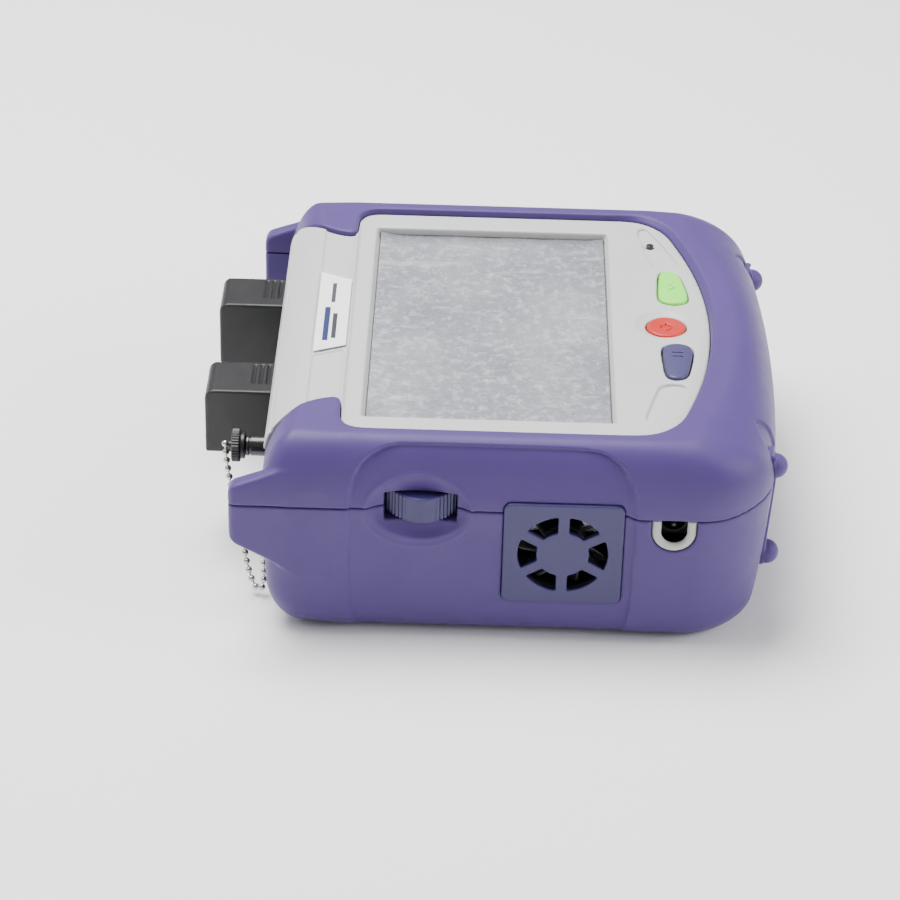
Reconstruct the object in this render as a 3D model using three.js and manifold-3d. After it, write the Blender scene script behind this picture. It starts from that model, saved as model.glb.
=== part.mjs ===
// Handheld fibre-optic tester lying on its back.
// Millimetres, +Z up through the screen, +X towards the key end, -X towards the optical connector end.
// Origin: middle of the bounding box in X and Y, on the surface that the tester lies on.
import * as THREE from 'three';
import * as BufferGeometryUtils from 'three/addons/utils/BufferGeometryUtils.js';
import Module from 'manifold-3d';

const wasm = await Module();
wasm.setup();

// ---- Driving dimensions -------------------------------------------------------------------------
const GAP = 0.3;                 // clearance between neighbouring pieces
const SEAM_Z = 59.5;             // split between the two shells
const CREST_Z = 86.5;            // highest line of the rim
const ROLL_Z = 61;               // the sides start to roll inwards here
const HALF_WIDTH = 105;          // case half width at the seam
const END_X = 111.5;             // key end at the seam, on the centre line
const LEFT_X = -86.5;            // connector end at the seam
const WALL = 2.6;                // shell wall
const SIDE_DRAFT = Math.tan(THREE.MathUtils.degToRad(3.8));
const END_DRAFT = Math.tan(THREE.MathUtils.degToRad(3.5));
const LEFT_DRAFT = Math.tan(THREE.MathUtils.degToRad(2));
const FOOT_SIDE = { width: 11, height: 14 };   // bottom fillet on the sides
const FOOT_END = { width: 14, height: 14 };    // at the key end
const FOOT_LEFT = { width: 20, height: 18 };   // at the connector end
const CORNER_END = 26;           // plan corner radius at the key end, at the seam
const CORNER_TOP = 18;           // the same at the rim
const CORNER_LEFT = 12;          // plan corner radius at the connector end
const BOW_SEAM = 0.0007;         // curvature of the key end, x = end - bow * y * y
const BOW_TOP = 0.0023;
const ROLL_SIDE = 12;            // width of the top roll on the sides
const ROLL_END = 17;             // at the key end
const ROLL_LEFT = 16;            // at the connector end

const PANEL_Z = 84;              // top of the flat front panel
const PANEL_T = 2.6;
const PANEL_HALF = 89;           // half width of the front panel
const PANEL_END = 85.3;          // its curved end on the centre line
const PANEL_BOW = 0.0024;        // curvature of that end, x = PANEL_END - PANEL_BOW * y * y
const HOOD_TOP = 85.4;           // crown of the hood over the connector end
const LIP_X = -86.3;             // the hood's lip
const LIP_Z = 70.6;

const SCREEN = { x0: -48.2, x1: 44.9, half: 77, glassTop: 80 };
const KEY_TOP = 85.1;
const KEY_FOOT = 79.4;
const POWER = { x: 68.2, r: 7.8, top: 83.4, dish: 12, dishDepth: 1.6, foot: 80.6 };
const KEY_RIM = 1.2;             // flange round the foot of each key
const LAMP = { x: 64, y: 67.9, r: 1.5 };

const WHEEL = { x: -26, y: -88.5, r: 16.5, z0: 54.2, z1: 64.8, lobes: 4, lobeDepth: 0.7, shaft: 2 };
const FAN = { x: 28, z: 42, plate: 45.2, plateT: 2.2, corner: 3, rOut: 17, rIn: 10, spoke: 4.3, size: 40 };
const JACK = { x: 69.6, z: 53.7, r: 8.3, hole: 4.7, top: 59 };
const FOOT = { y: 74, width: 9, t: 1.6, domeR: 4.8, z0: 22.4, z1: 72.2, domes: [[65.4, 107.8], [26.6, 107.1]] };

const COVER = { width: 23.5, z0: 41.2, z1: 69.2, x0: -85.2, tip: -112.6, wall: 1.8, pinX: -88, pinZ: 44, pinR: 1 };
const COVER_Y = { near: -25.2, far: 44.8 };
const ADAPTER_Z = 57.5;
const END_PANEL = { x: -84.5, t: 2.2, half: 77.6, z0: 20.4, z1: 70.2 };
const ROUND_PORT = { y: -65, z: 62, r: 4, bore: 2.1, tip: -94.2 };
const CAP = { r: 6.45, x0: -94.5, x1: -99.7, nub: -100.7, stem: 5.4, stemR: 1.7 };
const ANCHOR = { y: -74.5, z: 33, r: 2.6, tip: -86.6 };
const CHAIN_R = 1.35;
const CHAIN_ROUTE = [            // from the dust cap's nub down to the loop and up to the anchor
  [-102.2, -65, 62.5], [-101.9, -65.3, 57], [-100.9, -65.8, 49], [-99, -67, 38], [-96.9, -68.8, 26.5],
  [-94.8, -70.8, 17], [-93.9, -71.8, 12.4], [-92.6, -73.2, 8], [-91.1, -74.6, 4.6], [-89.3, -75.7, 3],
  [-87.8, -76.2, 4.4], [-87, -76, 8.6], [-87.1, -75.6, 15], [-87.3, -75.2, 21.5], [-87.7, -74.8, 28],
  [-88.1, -74.5, 33],
];

// ---- Shape helpers --------------------------------------------------------------------------------
const vec = (x, y, z) => new THREE.Vector3(x, y, z);

// Turns the faces of a closed mesh outwards when its signed volume is negative.
function faceOutwards(geometry) {
  const p = geometry.attributes.position;
  const index = geometry.index.array;
  const corners = [vec(0, 0, 0), vec(0, 0, 0), vec(0, 0, 0)];
  let volume = 0;
  for (let i = 0; i < index.length; i += 3) {
    corners.forEach((c, k) => c.fromBufferAttribute(p, index[i + k]));
    volume += corners[0].dot(corners[1].clone().cross(corners[2]));
  }
  if (volume < 0) {
    for (let i = 0; i < index.length; i += 3) {
      [index[i], index[i + 1]] = [index[i + 1], index[i]];
    }
  }
  return geometry;
}

function toSolid(geometry) {
  const bare = geometry.clone();
  bare.deleteAttribute('normal');
  bare.deleteAttribute('uv');
  const merged = faceOutwards(BufferGeometryUtils.mergeVertices(bare, 1e-4));
  const mesh = new wasm.Mesh({
    numProp: 3,
    vertProperties: Float32Array.from(merged.attributes.position.array),
    triVerts: Uint32Array.from(merged.index.array),
  });
  return new wasm.Manifold(mesh);
}

function toGeometry(solid) {
  const mesh = solid.getMesh();
  const geometry = new THREE.BufferGeometry();
  geometry.setAttribute('position', new THREE.BufferAttribute(Float32Array.from(mesh.vertProperties), 3));
  geometry.setIndex(new THREE.BufferAttribute(Uint32Array.from(mesh.triVerts), 1));
  return geometry;
}

function join(first, ...others) {
  return toGeometry(others.reduce((sum, g) => sum.add(toSolid(g)), toSolid(first)));
}

function cut(first, ...others) {
  return toGeometry(others.reduce((rest, g) => rest.subtract(toSolid(g)), toSolid(first)));
}

function common(first, second) {
  return toGeometry(toSolid(first).intersect(toSolid(second)));
}

function box(x0, x1, y0, y1, z0, z1) {
  const geometry = new THREE.BoxGeometry(x1 - x0, y1 - y0, z1 - z0);
  return geometry.translate((x0 + x1) / 2, (y0 + y1) / 2, (z0 + z1) / 2);
}

function shapeOf(points) {
  return new THREE.Shape(points.map(([x, y]) => new THREE.Vector2(x, y)));
}

// Prism of a plan outline (x, y) between two heights.
function prismZ(shape, z0, z1, curveSegments = 8) {
  return new THREE.ExtrudeGeometry(shape, { depth: z1 - z0, bevelEnabled: false, curveSegments }).translate(0, 0, z0);
}

// Prism of a side outline (x, z) between two y values.
function prismY(shape, y0, y1, curveSegments = 8) {
  const geometry = new THREE.ExtrudeGeometry(shape, { depth: y1 - y0, bevelEnabled: false, curveSegments });
  return geometry.rotateX(Math.PI / 2).translate(0, y1, 0);
}

// Turned piece: profile of [radius, height] pairs, its axis laid along X, Y or Z from the given point.
function turned(profile, axis, origin, segments = 24) {
  const geometry = new THREE.LatheGeometry(profile.map(([r, h]) => new THREE.Vector2(r, h)), segments);
  if (axis === 'z') geometry.rotateX(Math.PI / 2);
  if (axis === 'x') geometry.rotateZ(-Math.PI / 2);
  return geometry.translate(...origin);
}

function rod(radius, length, axis, origin, segments = 24) {
  return turned([[0, 0], [radius, 0], [radius, length], [0, length]], axis, origin, segments);
}

function roundedRect(halfX, halfY, radius) {
  const shape = new THREE.Shape();
  shape.moveTo(-halfX + radius, -halfY);
  shape.lineTo(halfX - radius, -halfY);
  shape.absarc(halfX - radius, -halfY + radius, radius, -Math.PI / 2, 0, false);
  shape.lineTo(halfX, halfY - radius);
  shape.absarc(halfX - radius, halfY - radius, radius, 0, Math.PI / 2, false);
  shape.lineTo(-halfX + radius, halfY);
  shape.absarc(-halfX + radius, halfY - radius, radius, Math.PI / 2, Math.PI, false);
  shape.lineTo(-halfX, -halfY + radius);
  shape.absarc(-halfX + radius, -halfY + radius, radius, Math.PI, Math.PI * 1.5, false);
  return shape;
}

// Closed solid through a stack of outlines with the same number of points, lowest first.
function loft(rings) {
  const n = rings[0].length;
  const positions = rings.flat().flatMap((p) => [p.x, p.y, p.z]);
  const index = [];
  for (let k = 0; k < rings.length - 1; k++) {
    for (let i = 0; i < n; i++) {
      const a = k * n + i;
      const b = k * n + (i + 1) % n;
      index.push(a, b, b + n, a, b + n, a + n);
    }
  }
  const outline = rings[0].map((p) => new THREE.Vector2(p.x, p.y));
  const top = (rings.length - 1) * n;
  for (const [a, b, c] of THREE.ShapeUtils.triangulateShape(outline, [])) {
    index.push(a, c, b);
    index.push(top + a, top + b, top + c);
  }
  const geometry = new THREE.BufferGeometry();
  geometry.setAttribute('position', new THREE.Float32BufferAttribute(positions, 3));
  geometry.setIndex(index);
  return geometry;
}

// ---- Case form --------------------------------------------------------------------------------------
// How far a quarter-ellipse fillet of the given width stands in at fraction t of its height.
const fillet = (width, t) => width * (1 - Math.sqrt(1 - t * t));

function caseLimits(z) {
  const foot = ({ width, height }) => fillet(width, Math.max(0, (height - z) / height));
  const high = Math.max(0, (z - ROLL_Z) / (CREST_Z - ROLL_Z));
  const below = Math.max(0, SEAM_Z - z);
  return {
    halfWidth: HALF_WIDTH - below * SIDE_DRAFT - foot(FOOT_SIDE) - fillet(ROLL_SIDE, high),
    endX: END_X - below * END_DRAFT - foot(FOOT_END) - fillet(ROLL_END, high),
    leftX: LEFT_X + below * LEFT_DRAFT + foot(FOOT_LEFT) + fillet(ROLL_LEFT, high),
    bow: THREE.MathUtils.lerp(BOW_SEAM, BOW_TOP, fillet(1, high)),
    corner: THREE.MathUtils.lerp(CORNER_END, CORNER_TOP, fillet(1, high)),
  };
}

const BOW_STEPS = [-0.67, -0.33, 0, 0.33, 0.67];

function arcPoints(cx, cy, radius, from, to, segments) {
  return Array.from({ length: segments + 1 }, (_, i) => {
    const angle = THREE.MathUtils.degToRad(from + (to - from) * i / segments);
    return [cx + radius * Math.cos(angle), cy + radius * Math.sin(angle)];
  });
}

// Outline of the case at height z, grown outwards by offset; the key end is bowed.
function caseRing(z, offset = 0) {
  const limits = caseLimits(z);
  const halfWidth = limits.halfWidth + offset;
  const endX = limits.endX + offset;
  const leftX = limits.leftX - offset;
  const corner = limits.corner + offset;
  const leftCorner = CORNER_LEFT + offset;
  const cy = halfWidth - corner;
  const cx = endX - limits.bow * cy * cy - corner;
  const lx = leftX + leftCorner;
  const ly = halfWidth - leftCorner;
  const points = [
    ...arcPoints(cx, -cy, corner, -90, 0, 6),
    ...BOW_STEPS.map((t) => [endX - limits.bow * (cy * t) ** 2, cy * t]),
    ...arcPoints(cx, cy, corner, 0, 90, 6),
    ...arcPoints(lx, ly, leftCorner, 90, 180, 4),
    ...arcPoints(lx, -ly, leftCorner, 180, 270, 4),
  ];
  return points.map(([x, y]) => vec(x, y, z));
}

const LOWER_LEVELS = [0, 0.9, 2.8, 5.8, 9.6, 14, 18, 40, SEAM_Z - GAP];
const UPPER_LEVELS = [SEAM_Z + GAP, 66, 71, 75.5, 79.5, 82.5, 84.7, 86, CREST_Z];

const caseSolid = (levels, offset = 0) => loft(levels.map((z) => caseRing(z, offset)));

// Moves every corner of a closed outline outwards by the same distance.
function grow(points, distance) {
  return points.map(([x, y], i) => {
    const [px, py] = points[(i + points.length - 1) % points.length];
    const [nx, ny] = points[(i + 1) % points.length];
    const before = new THREE.Vector2(y - py, px - x).normalize();
    const after = new THREE.Vector2(ny - y, x - nx).normalize();
    const normal = before.clone().add(after).normalize();
    const reach = distance / Math.max(0.4, normal.dot(before));
    return [x + normal.x * reach, y + normal.y * reach];
  });
}

const mirrorY = (points) => points.map(([x, y]) => [x, -y]).reverse();

// Bumper horn beside the connector end: tip position against height, its outer side following the case.
const HORN_PROFILE = [
  [27.5, -73], [35, -84.5], [40.6, -94.5], [42, -97], [44.5, -98.3], [65.6, -98.3], [66.8, -97.4],
  [71.4, -86], [73.4, -79],
];
const HORN_INNER = 97.2;         // its inner face, from the middle of the case
const HORN_ROOT = -62;           // where it starts, inside the side wall

function horn(side) {
  const rings = HORN_PROFILE.map(([z, tip]) => {
    const outer = caseLimits(z).halfWidth;
    const outline = [
      [HORN_ROOT, -HORN_INNER], [HORN_ROOT, 1 - outer], [tip + 10, 0.6 - outer], [tip + 4, 1.1 - outer],
      [tip + 1, 2.4 - outer], [tip, 3.8 - outer], [tip, -HORN_INNER - 1], [tip + 1, -HORN_INNER],
    ].reverse();
    const placed = side > 0 ? mirrorY(outline) : outline;
    return placed.map(([x, y]) => vec(x, y, z));
  });
  return loft(rings);
}

// ---- Shells -----------------------------------------------------------------------------------------
const PANEL_OUTLINE_HALF = [
  ...[0, 14, 28, 42, 56, 70].map((y) => [PANEL_END - PANEL_BOW * y * y, y]),
  [71, 76.5], [67.5, 82.5], [62.5, 86.8], [56, PANEL_HALF],
  [-50, PANEL_HALF], [-54.5, 87.4], [-57, 83.5], [-57.4, 68.4], [-58.6, 65.9], [-61, 65.3],
  [-68, 67.8], [-73, 71.4], [-78, 75], [-82.5, 79.3], [-96, 84],
];
const PANEL_OUTLINE = [...PANEL_OUTLINE_HALF, ...mirrorY(PANEL_OUTLINE_HALF).slice(0, -1)];

function dish() {
  return new THREE.SphereGeometry(1, 24, 16).scale(20, 8, 16).translate(WHEEL.x, -HALF_WIDTH - 2, SEAM_Z);
}

function wheelSlot() {
  const mouth = box(WHEEL.x - 13.9, WHEEL.x + 13.9, -107, WHEEL.y, WHEEL.z0 - 0.6, WHEEL.z1 + 0.6);
  const round = rod(WHEEL.r + 0.6, WHEEL.z1 - WHEEL.z0 + 1.2, 'z', [WHEEL.x, WHEEL.y, WHEEL.z0 - 0.6], 32);
  return join(mouth, round);
}

const FAN_TILT = THREE.MathUtils.degToRad(3);    // the plate leans back with the side
const FAN_FACE_Y = -103.7;

function fanSlab(halfSize, y0, y1) {
  return prismY(roundedRect(halfSize, halfSize, FAN.corner), y0, y1, 3)
    .rotateX(FAN_TILT)
    .translate(FAN.x, FAN_FACE_Y, FAN.z);
}

// U-shaped outline of the jack bezel (x, z), flat on top.
function jackOutline(radius, top) {
  const shape = new THREE.Shape();
  shape.moveTo(JACK.x + radius, top);
  shape.lineTo(JACK.x + radius, JACK.z);
  shape.absarc(JACK.x, JACK.z, radius, 0, -Math.PI, true);
  shape.lineTo(JACK.x - radius, top);
  return shape;
}

const CASE_SCREWS = [[-70, 78], [-70, -78], [86, 70], [86, -70]];
const DOOR = { x0: -20, x1: 84, half: 42, z0: 0.2, z1: 2.5, screwX: 80.5, screwY: 30 };

function screwHole(x, y, headR, headZ, shankR, top) {
  return join(rod(headR, headZ + 1, 'z', [x, y, -1], 16), rod(shankR, top + 1, 'z', [x, y, -0.5], 12));
}

function screw(x, y, headR, z0, headT, shankR, top) {
  return turned([[0, 0], [headR, 0], [headR, headT], [shankR, headT], [shankR, top - z0], [0, top - z0]],
    'z', [x, y, z0], 16);
}

const endWindow = box(-100, -70, -78, 78, END_PANEL.z0 - GAP, 71);
const wheelBoss = common(caseSolid([36, 50, 59, 64, 70, 78], -0.5), box(-49, -3, -104, -96.4, 40, 77));
const outside = {
  dish: dish(),
  slot: wheelSlot(),
  fan: fanSlab(FAN.plate / 2 + GAP, -3, 8),
  jack: prismY(jackOutline(JACK.r + GAP, JACK.top + 1), -108, -99, 8),
};

function lowerShell() {
  const cavity = caseSolid([WALL, 4.2, 7, 11, 18, 40, SEAM_Z + 1], -WALL);
  const belowSeam = box(-120, 120, -110, 110, -1, SEAM_Z - GAP);
  const outer = join(caseSolid(LOWER_LEVELS), common(horn(-1), belowSeam), common(horn(1), belowSeam));
  const walls = join(cut(outer, cavity), common(wheelBoss, belowSeam));
  const door = box(DOOR.x0 - GAP, DOOR.x1 + GAP, -DOOR.half - GAP, DOOR.half + GAP, -1, WALL + 1);
  const holes = CASE_SCREWS.map(([x, y]) => screwHole(x, y, 3.6, 1.6, 1.9, 6));
  return cut(walls, door, endWindow, ...Object.values(outside), ...holes);
}

function upperShell() {
  const cavity = caseSolid([SEAM_Z - 1, 66, 71, 75.5, 79.5, 82.4], -WALL);
  const aboveSeam = box(-120, 120, -110, 110, SEAM_Z + GAP, 90);
  const outer = join(caseSolid(UPPER_LEVELS), common(horn(-1), aboveSeam), common(horn(1), aboveSeam));
  const walls = join(cut(outer, cavity), common(wheelBoss, aboveSeam));
  const opening = prismZ(shapeOf(grow(PANEL_OUTLINE, GAP)), LIP_Z - GAP, 90);
  return cut(walls, opening, endWindow, outside.dish, outside.slot, outside.fan);
}

// ---- Front panel with its hood ------------------------------------------------------------------------
const HOOD_ARC = { x: -70, z: 71, a: 16.2, b: HOOD_TOP - 71, angles: [10, 22, 34, 46, 58, 69, 80] };

function hoodArc(inset) {
  return HOOD_ARC.angles.map((deg) => {
    const t = THREE.MathUtils.degToRad(deg);
    return [HOOD_ARC.x - (HOOD_ARC.a - inset) * Math.sin(t), HOOD_ARC.z + (HOOD_ARC.b - inset) * Math.cos(t)];
  });
}

const GREEN_OUTLINE = [
  [77.6, 21.5], [76.2, 40.5], [74, 43], [71.5, 43.8], [68.8, 43.4], [66.8, 41.5], [65.9, 21.5], [67.4, 18],
  [71.6, 16.3], [76.2, 18],
];

function keyOutline(side, growth = 0) {
  const points = side > 0 ? GREEN_OUTLINE : mirrorY(GREEN_OUTLINE);
  return shapeOf(grow(points, growth));
}

function frontPanel() {
  const profile = shapeOf([
    [95, PANEL_Z - PANEL_T], [95, PANEL_Z], [-56.6, PANEL_Z], [-58.6, HOOD_TOP], [HOOD_ARC.x, HOOD_TOP],
    ...hoodArc(0), [LIP_X, 73], [LIP_X, LIP_Z], [LIP_X + 2.4, LIP_Z],
    ...hoodArc(2.4).reverse(), [HOOD_ARC.x, HOOD_TOP - 2.4], [-58, HOOD_TOP - 2.6], [-56, PANEL_Z - PANEL_T],
  ]);
  const sheet = common(prismY(profile, -95, 95), prismZ(shapeOf(PANEL_OUTLINE), 60, 90));
  const { x0, x1, half } = SCREEN;
  const collar = box(x0 - 2, x1 + 2, -half - 2, half + 2, SCREEN.glassTop + GAP, PANEL_Z - 1);
  const window = box(x0, x1, -half, half, 70, 90);
  const powerDish = turned([[0, -POWER.dishDepth], [POWER.r + 0.6, -POWER.dishDepth], [POWER.dish, 0],
    [POWER.dish, 2], [0, 2]], 'z', [POWER.x, 0, PANEL_Z], 28);
  const holes = [
    prismZ(keyOutline(1, GAP), 78, 88),
    prismZ(keyOutline(-1, GAP), 78, 88),
    rod(POWER.r + GAP, 10, 'z', [POWER.x, 0, 78], 28),
    rod(LAMP.r + GAP, 10, 'z', [LAMP.x, LAMP.y, 78], 16),
  ];
  return cut(join(sheet, collar), window, powerDish, ...holes);
}

function key(side) {
  return join(prismZ(keyOutline(side), KEY_FOOT, KEY_TOP), prismZ(keyOutline(side, KEY_RIM), KEY_FOOT, POWER.foot));
}

function powerKey() {
  const rim = POWER.r + KEY_RIM;
  const profile = [[0, KEY_FOOT], [rim, KEY_FOOT], [rim, POWER.foot], [POWER.r, POWER.foot],
    [POWER.r, POWER.top - 0.6], [POWER.r - 0.8, POWER.top], [0, POWER.top]];
  return turned(profile, 'z', [POWER.x, 0, 0], 28);
}

function labelPlate() {
  const outline = [[-70.5, -32.5], [-58.7, -27], [-58.7, 26.5], [-70.5, 32]];
  return prismZ(shapeOf(outline), HOOD_TOP + 0.15, HOOD_TOP + 0.6);
}

// ---- Thumb wheel, fan, jack -----------------------------------------------------------------------------
function thumbWheel() {
  const shape = new THREE.Shape();
  const steps = 64;
  for (let i = 0; i < steps; i++) {
    const angle = 2 * Math.PI * i / steps;
    const r = WHEEL.r - WHEEL.lobeDepth * (1 - Math.cos(WHEEL.lobes * (angle + Math.PI / 2)));
    shape[i ? 'lineTo' : 'moveTo'](r * Math.cos(angle), r * Math.sin(angle));
  }
  const bore = new THREE.Path();
  bore.absarc(0, 0, WHEEL.shaft + 0.06, 0, 2 * Math.PI, true);
  shape.holes.push(bore);
  return prismZ(shape, WHEEL.z0, WHEEL.z1, 12).translate(WHEEL.x, WHEEL.y, 0);
}

function fanGrille() {
  const shape = roundedRect(FAN.plate / 2, FAN.plate / 2, FAN.corner);
  for (let k = 0; k < 6; k++) {
    const mid = k * Math.PI / 3;
    const outer = Math.PI / 6 - Math.asin(FAN.spoke / 2 / FAN.rOut);
    const inner = Math.PI / 6 - Math.asin(FAN.spoke / 2 / FAN.rIn);
    const hole = new THREE.Path();
    hole.absarc(0, 0, FAN.rOut, mid - outer, mid + outer, false);
    hole.absarc(0, 0, FAN.rIn, mid + inner, mid - inner, true);
    shape.holes.push(hole);
  }
  return prismY(shape, 0, FAN.plateT, 5).rotateX(FAN_TILT).translate(FAN.x, FAN_FACE_Y, FAN.z);
}

const FAN_Y = { front: -98.4, back: -88.4, hub: -90.6 };

function fanFrame() {
  const half = FAN.size / 2;
  const body = box(FAN.x - half, FAN.x + half, FAN_Y.front, FAN_Y.back, FAN.z - half, FAN.z + half);
  const tunnel = rod(half - 1.4, 20, 'y', [FAN.x, FAN_Y.front - 5, FAN.z], 32);
  const hub = rod(8.5, 1.8, 'y', [FAN.x, FAN_Y.back - 1.8, FAN.z]);
  const struts = [45, 135].map((deg) => new THREE.BoxGeometry(FAN.size - 2, 1.6, 2.4)
    .rotateY(THREE.MathUtils.degToRad(deg))
    .translate(FAN.x, FAN_Y.back - 0.9, FAN.z));
  return join(cut(body, tunnel), hub, ...struts);
}

function fanRotor() {
  const hub = rod(8.6, 7, 'y', [FAN.x, FAN_Y.hub - 7, FAN.z]);
  const blades = Array.from({ length: 7 }, (_, k) => new THREE.BoxGeometry(10, 1, 7)
    .rotateX(THREE.MathUtils.degToRad(42))
    .translate(12.6, 0, 0)
    .rotateY(2 * Math.PI * k / 7)
    .translate(FAN.x, FAN_Y.hub - 3.6, FAN.z));
  return join(hub, ...blades);
}

function jackBezel() {
  const ring = prismY(jackOutline(JACK.r, JACK.top), -104.3, -102.1, 8);
  return cut(ring, prismY(jackOutline(JACK.hole, JACK.top + 2), -108, -98, 8));
}

function jackBody() {
  const body = box(JACK.x - 7, JACK.x + 7, -96.6, -82, JACK.z - 5.5, JACK.z + 8);
  const socket = rod(4.6, 9, 'y', [JACK.x, -98, JACK.z + 1.2]);
  const pin = rod(1, 8.5, 'y', [JACK.x, -96.4, JACK.z + 1.2], 12);
  return join(cut(body, socket), pin);
}

// ---- Button-end feet ----------------------------------------------------------------------------------
function footStrip(side) {
  const levels = [12, 19, 30, SEAM_Z, 66, 71, 75, 79];
  const y0 = side * FOOT.y - FOOT.width / 2;
  const slab = common(caseSolid(levels, GAP + FOOT.t), box(80, 120, y0, y0 + FOOT.width, FOOT.z0, FOOT.z1));
  const domes = FOOT.domes.map(([z, x]) => (
    new THREE.SphereGeometry(FOOT.domeR, 20, 12).translate(x, side * FOOT.y, z)));
  return cut(join(slab, ...domes), caseSolid(levels, GAP));
}

// ---- Connector end --------------------------------------------------------------------------------------
function connectorPanel() {
  const face = END_PANEL.x;
  const plate = box(face, face + END_PANEL.t, -END_PANEL.half, END_PANEL.half, END_PANEL.z0, END_PANEL.z1);
  const lugs = Object.values(COVER_Y).flatMap((y) => [-1, 1].map((side) => {
    const inner = y + side * (COVER.width / 2 + 0.5);
    const outer = inner + side * 2;
    const block = box(face - 5.4, face + 0.5, Math.min(inner, outer), Math.max(inner, outer), COVER.pinZ - 2, COVER.pinZ + 2);
    return cut(block, rod(COVER.pinR + 0.15, 4, 'y', [COVER.pinX, Math.min(inner, outer) - 1, COVER.pinZ], 12));
  }));
  const holes = Object.values(COVER_Y).map((y) => box(-90, -80, y - 6.8, y + 6.8, ADAPTER_Z - 6, ADAPTER_Z + 6));
  return join(cut(plate, ...holes), ...lugs);
}

function opticalAdapter(y) {
  const body = box(-95.5, -78, y - 6.5, y + 6.5, ADAPTER_Z - 5.7, ADAPTER_Z + 5.7);
  const socket = box(-96, -86.5, y - 4.7, y + 4.7, ADAPTER_Z - 3.9, ADAPTER_Z + 3.9);
  return cut(body, socket);
}

function portCover(y) {
  const { x0, tip, z0, z1, wall, width } = COVER;
  const profile = new THREE.Shape();
  profile.moveTo(x0, z1);
  profile.lineTo(tip + 3, z1);
  profile.absarc(tip + 3, z1 - 3, 3, Math.PI / 2, Math.PI, false);
  profile.lineTo(tip, z0 + 0.8);
  profile.lineTo(tip + 0.8, z0);
  profile.lineTo(x0 - 2, z0);
  profile.lineTo(x0, z0 + 2);
  const body = prismY(profile, y - width / 2, y + width / 2, 5);
  const hollow = box(tip + wall, -80, y - width / 2 + wall, y + width / 2 - wall, z0 + wall, z1 - wall);
  const pinHole = rod(COVER.pinR + 0.15, width + 4, 'y', [COVER.pinX, y - width / 2 - 2, COVER.pinZ], 12);
  const grooves = [-88.4, -91.2, -94].map((x) => box(x - 0.5, x + 0.5, y - 5, y + 10, z1 - 0.5, z1 + 1));
  return cut(body, hollow, pinHole, ...grooves);
}

function coverPin(y) {
  const length = COVER.width + 5;
  return rod(COVER.pinR, length, 'y', [COVER.pinX, y - length / 2, COVER.pinZ], 12);
}

function roundPort() {
  const { r, bore } = ROUND_PORT;
  return turned([[0, 7.2], [bore, 7.2], [bore, 0], [r, 0], [r, 7.8], [6.6, 7.8], [6.6, 9.4], [0, 9.4]],
    'x', [ROUND_PORT.tip, ROUND_PORT.y, ROUND_PORT.z]);
}

function dustCap() {
  const disc = CAP.x1 - CAP.nub;
  const back = CAP.x0 - CAP.nub;
  const end = back + CAP.stem;
  const profile = [[0, 0], [CAP.stemR, 0], [CAP.stemR, disc], [CAP.r, disc], [CAP.r, back], [CAP.stemR, back],
    [CAP.stemR, end], [0, end]];
  return turned(profile, 'x', [CAP.nub, ROUND_PORT.y, ROUND_PORT.z], 28);
}

function chain() {
  const route = new THREE.CatmullRomCurve3(CHAIN_ROUTE.map((p) => vec(...p)));
  const section = new THREE.Shape();
  section.absarc(0, 0, CHAIN_R, 0, 2 * Math.PI, false);
  return new THREE.ExtrudeGeometry(section, { extrudePath: route, steps: 34, curveSegments: 4, bevelEnabled: false });
}

function anchor() {
  const length = END_PANEL.x - GAP - ANCHOR.tip;
  return turned([[0, 0], [ANCHOR.r - 0.6, 0], [ANCHOR.r, 0.6], [ANCHOR.r, length], [0, length]],
    'x', [ANCHOR.tip, ANCHOR.y, ANCHOR.z], 20);
}

// ---- Materials and assembly --------------------------------------------------------------------------------
const finish = (color, roughness, metalness = 0) => new THREE.MeshStandardMaterial({ color, roughness, metalness });
const violet = finish(0x5f5596, 0.55);
const plum = finish(0x50508c, 0.5);
const grey = finish(0xcfd1cf, 0.45);
const black = finish(0x2b2b2e, 0.5);
const steel = finish(0xb8bcc2, 0.3, 1);
const tin = finish(0xd9dadc, 0.25, 1);
const circuit = finish(0x1f5a34, 0.6);

const tester = new THREE.Group();

function add(name, geometry, material) {
  const mesh = new THREE.Mesh(geometry, material);
  mesh.name = name;
  tester.add(mesh);
}

add('lower_shell', lowerShell(), violet);
add('upper_shell', upperShell(), violet);
add('front_panel', frontPanel(), grey);
add('connector_panel', connectorPanel(), black);
add('label_plate', labelPlate(), finish(0xf4f5f5, 0.4));

const glassOverlap = 2.3;
const glass = [SCREEN.x0 - glassOverlap, SCREEN.x1 + glassOverlap, -SCREEN.half - glassOverlap,
  SCREEN.half + glassOverlap];
add('screen_glass', box(...glass, SCREEN.glassTop - 1.1, SCREEN.glassTop), finish(0x9c9ea4, 0.15));
add('screen_film', box(SCREEN.x0 + 0.4, SCREEN.x1 - 0.4, 0.4 - SCREEN.half, SCREEN.half - 0.4,
  SCREEN.glassTop + 0.2, SCREEN.glassTop + 0.5), finish(0xb4b6ba, 0.2));
add('lcd_module', box(...glass, 71.5, SCREEN.glassTop - 1.4), steel);

add('key_green', key(1), finish(0xb2ec98, 0.5));
add('key_power', powerKey(), finish(0xe9665a, 0.45));
add('key_blue', key(-1), finish(0x6a6aa6, 0.5));
add('status_lens', rod(LAMP.r, 5.4, 'z', [LAMP.x, LAMP.y, 78.3], 16), finish(0x33363a, 0.2));
add('keypad_board', box(52, 82, -50, 74, 76.4, 78), circuit);

add('thumb_wheel', thumbWheel(), plum);
add('wheel_shaft', rod(WHEEL.shaft, 17, 'z', [WHEEL.x, WHEEL.y, 51], 24), steel);

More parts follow.
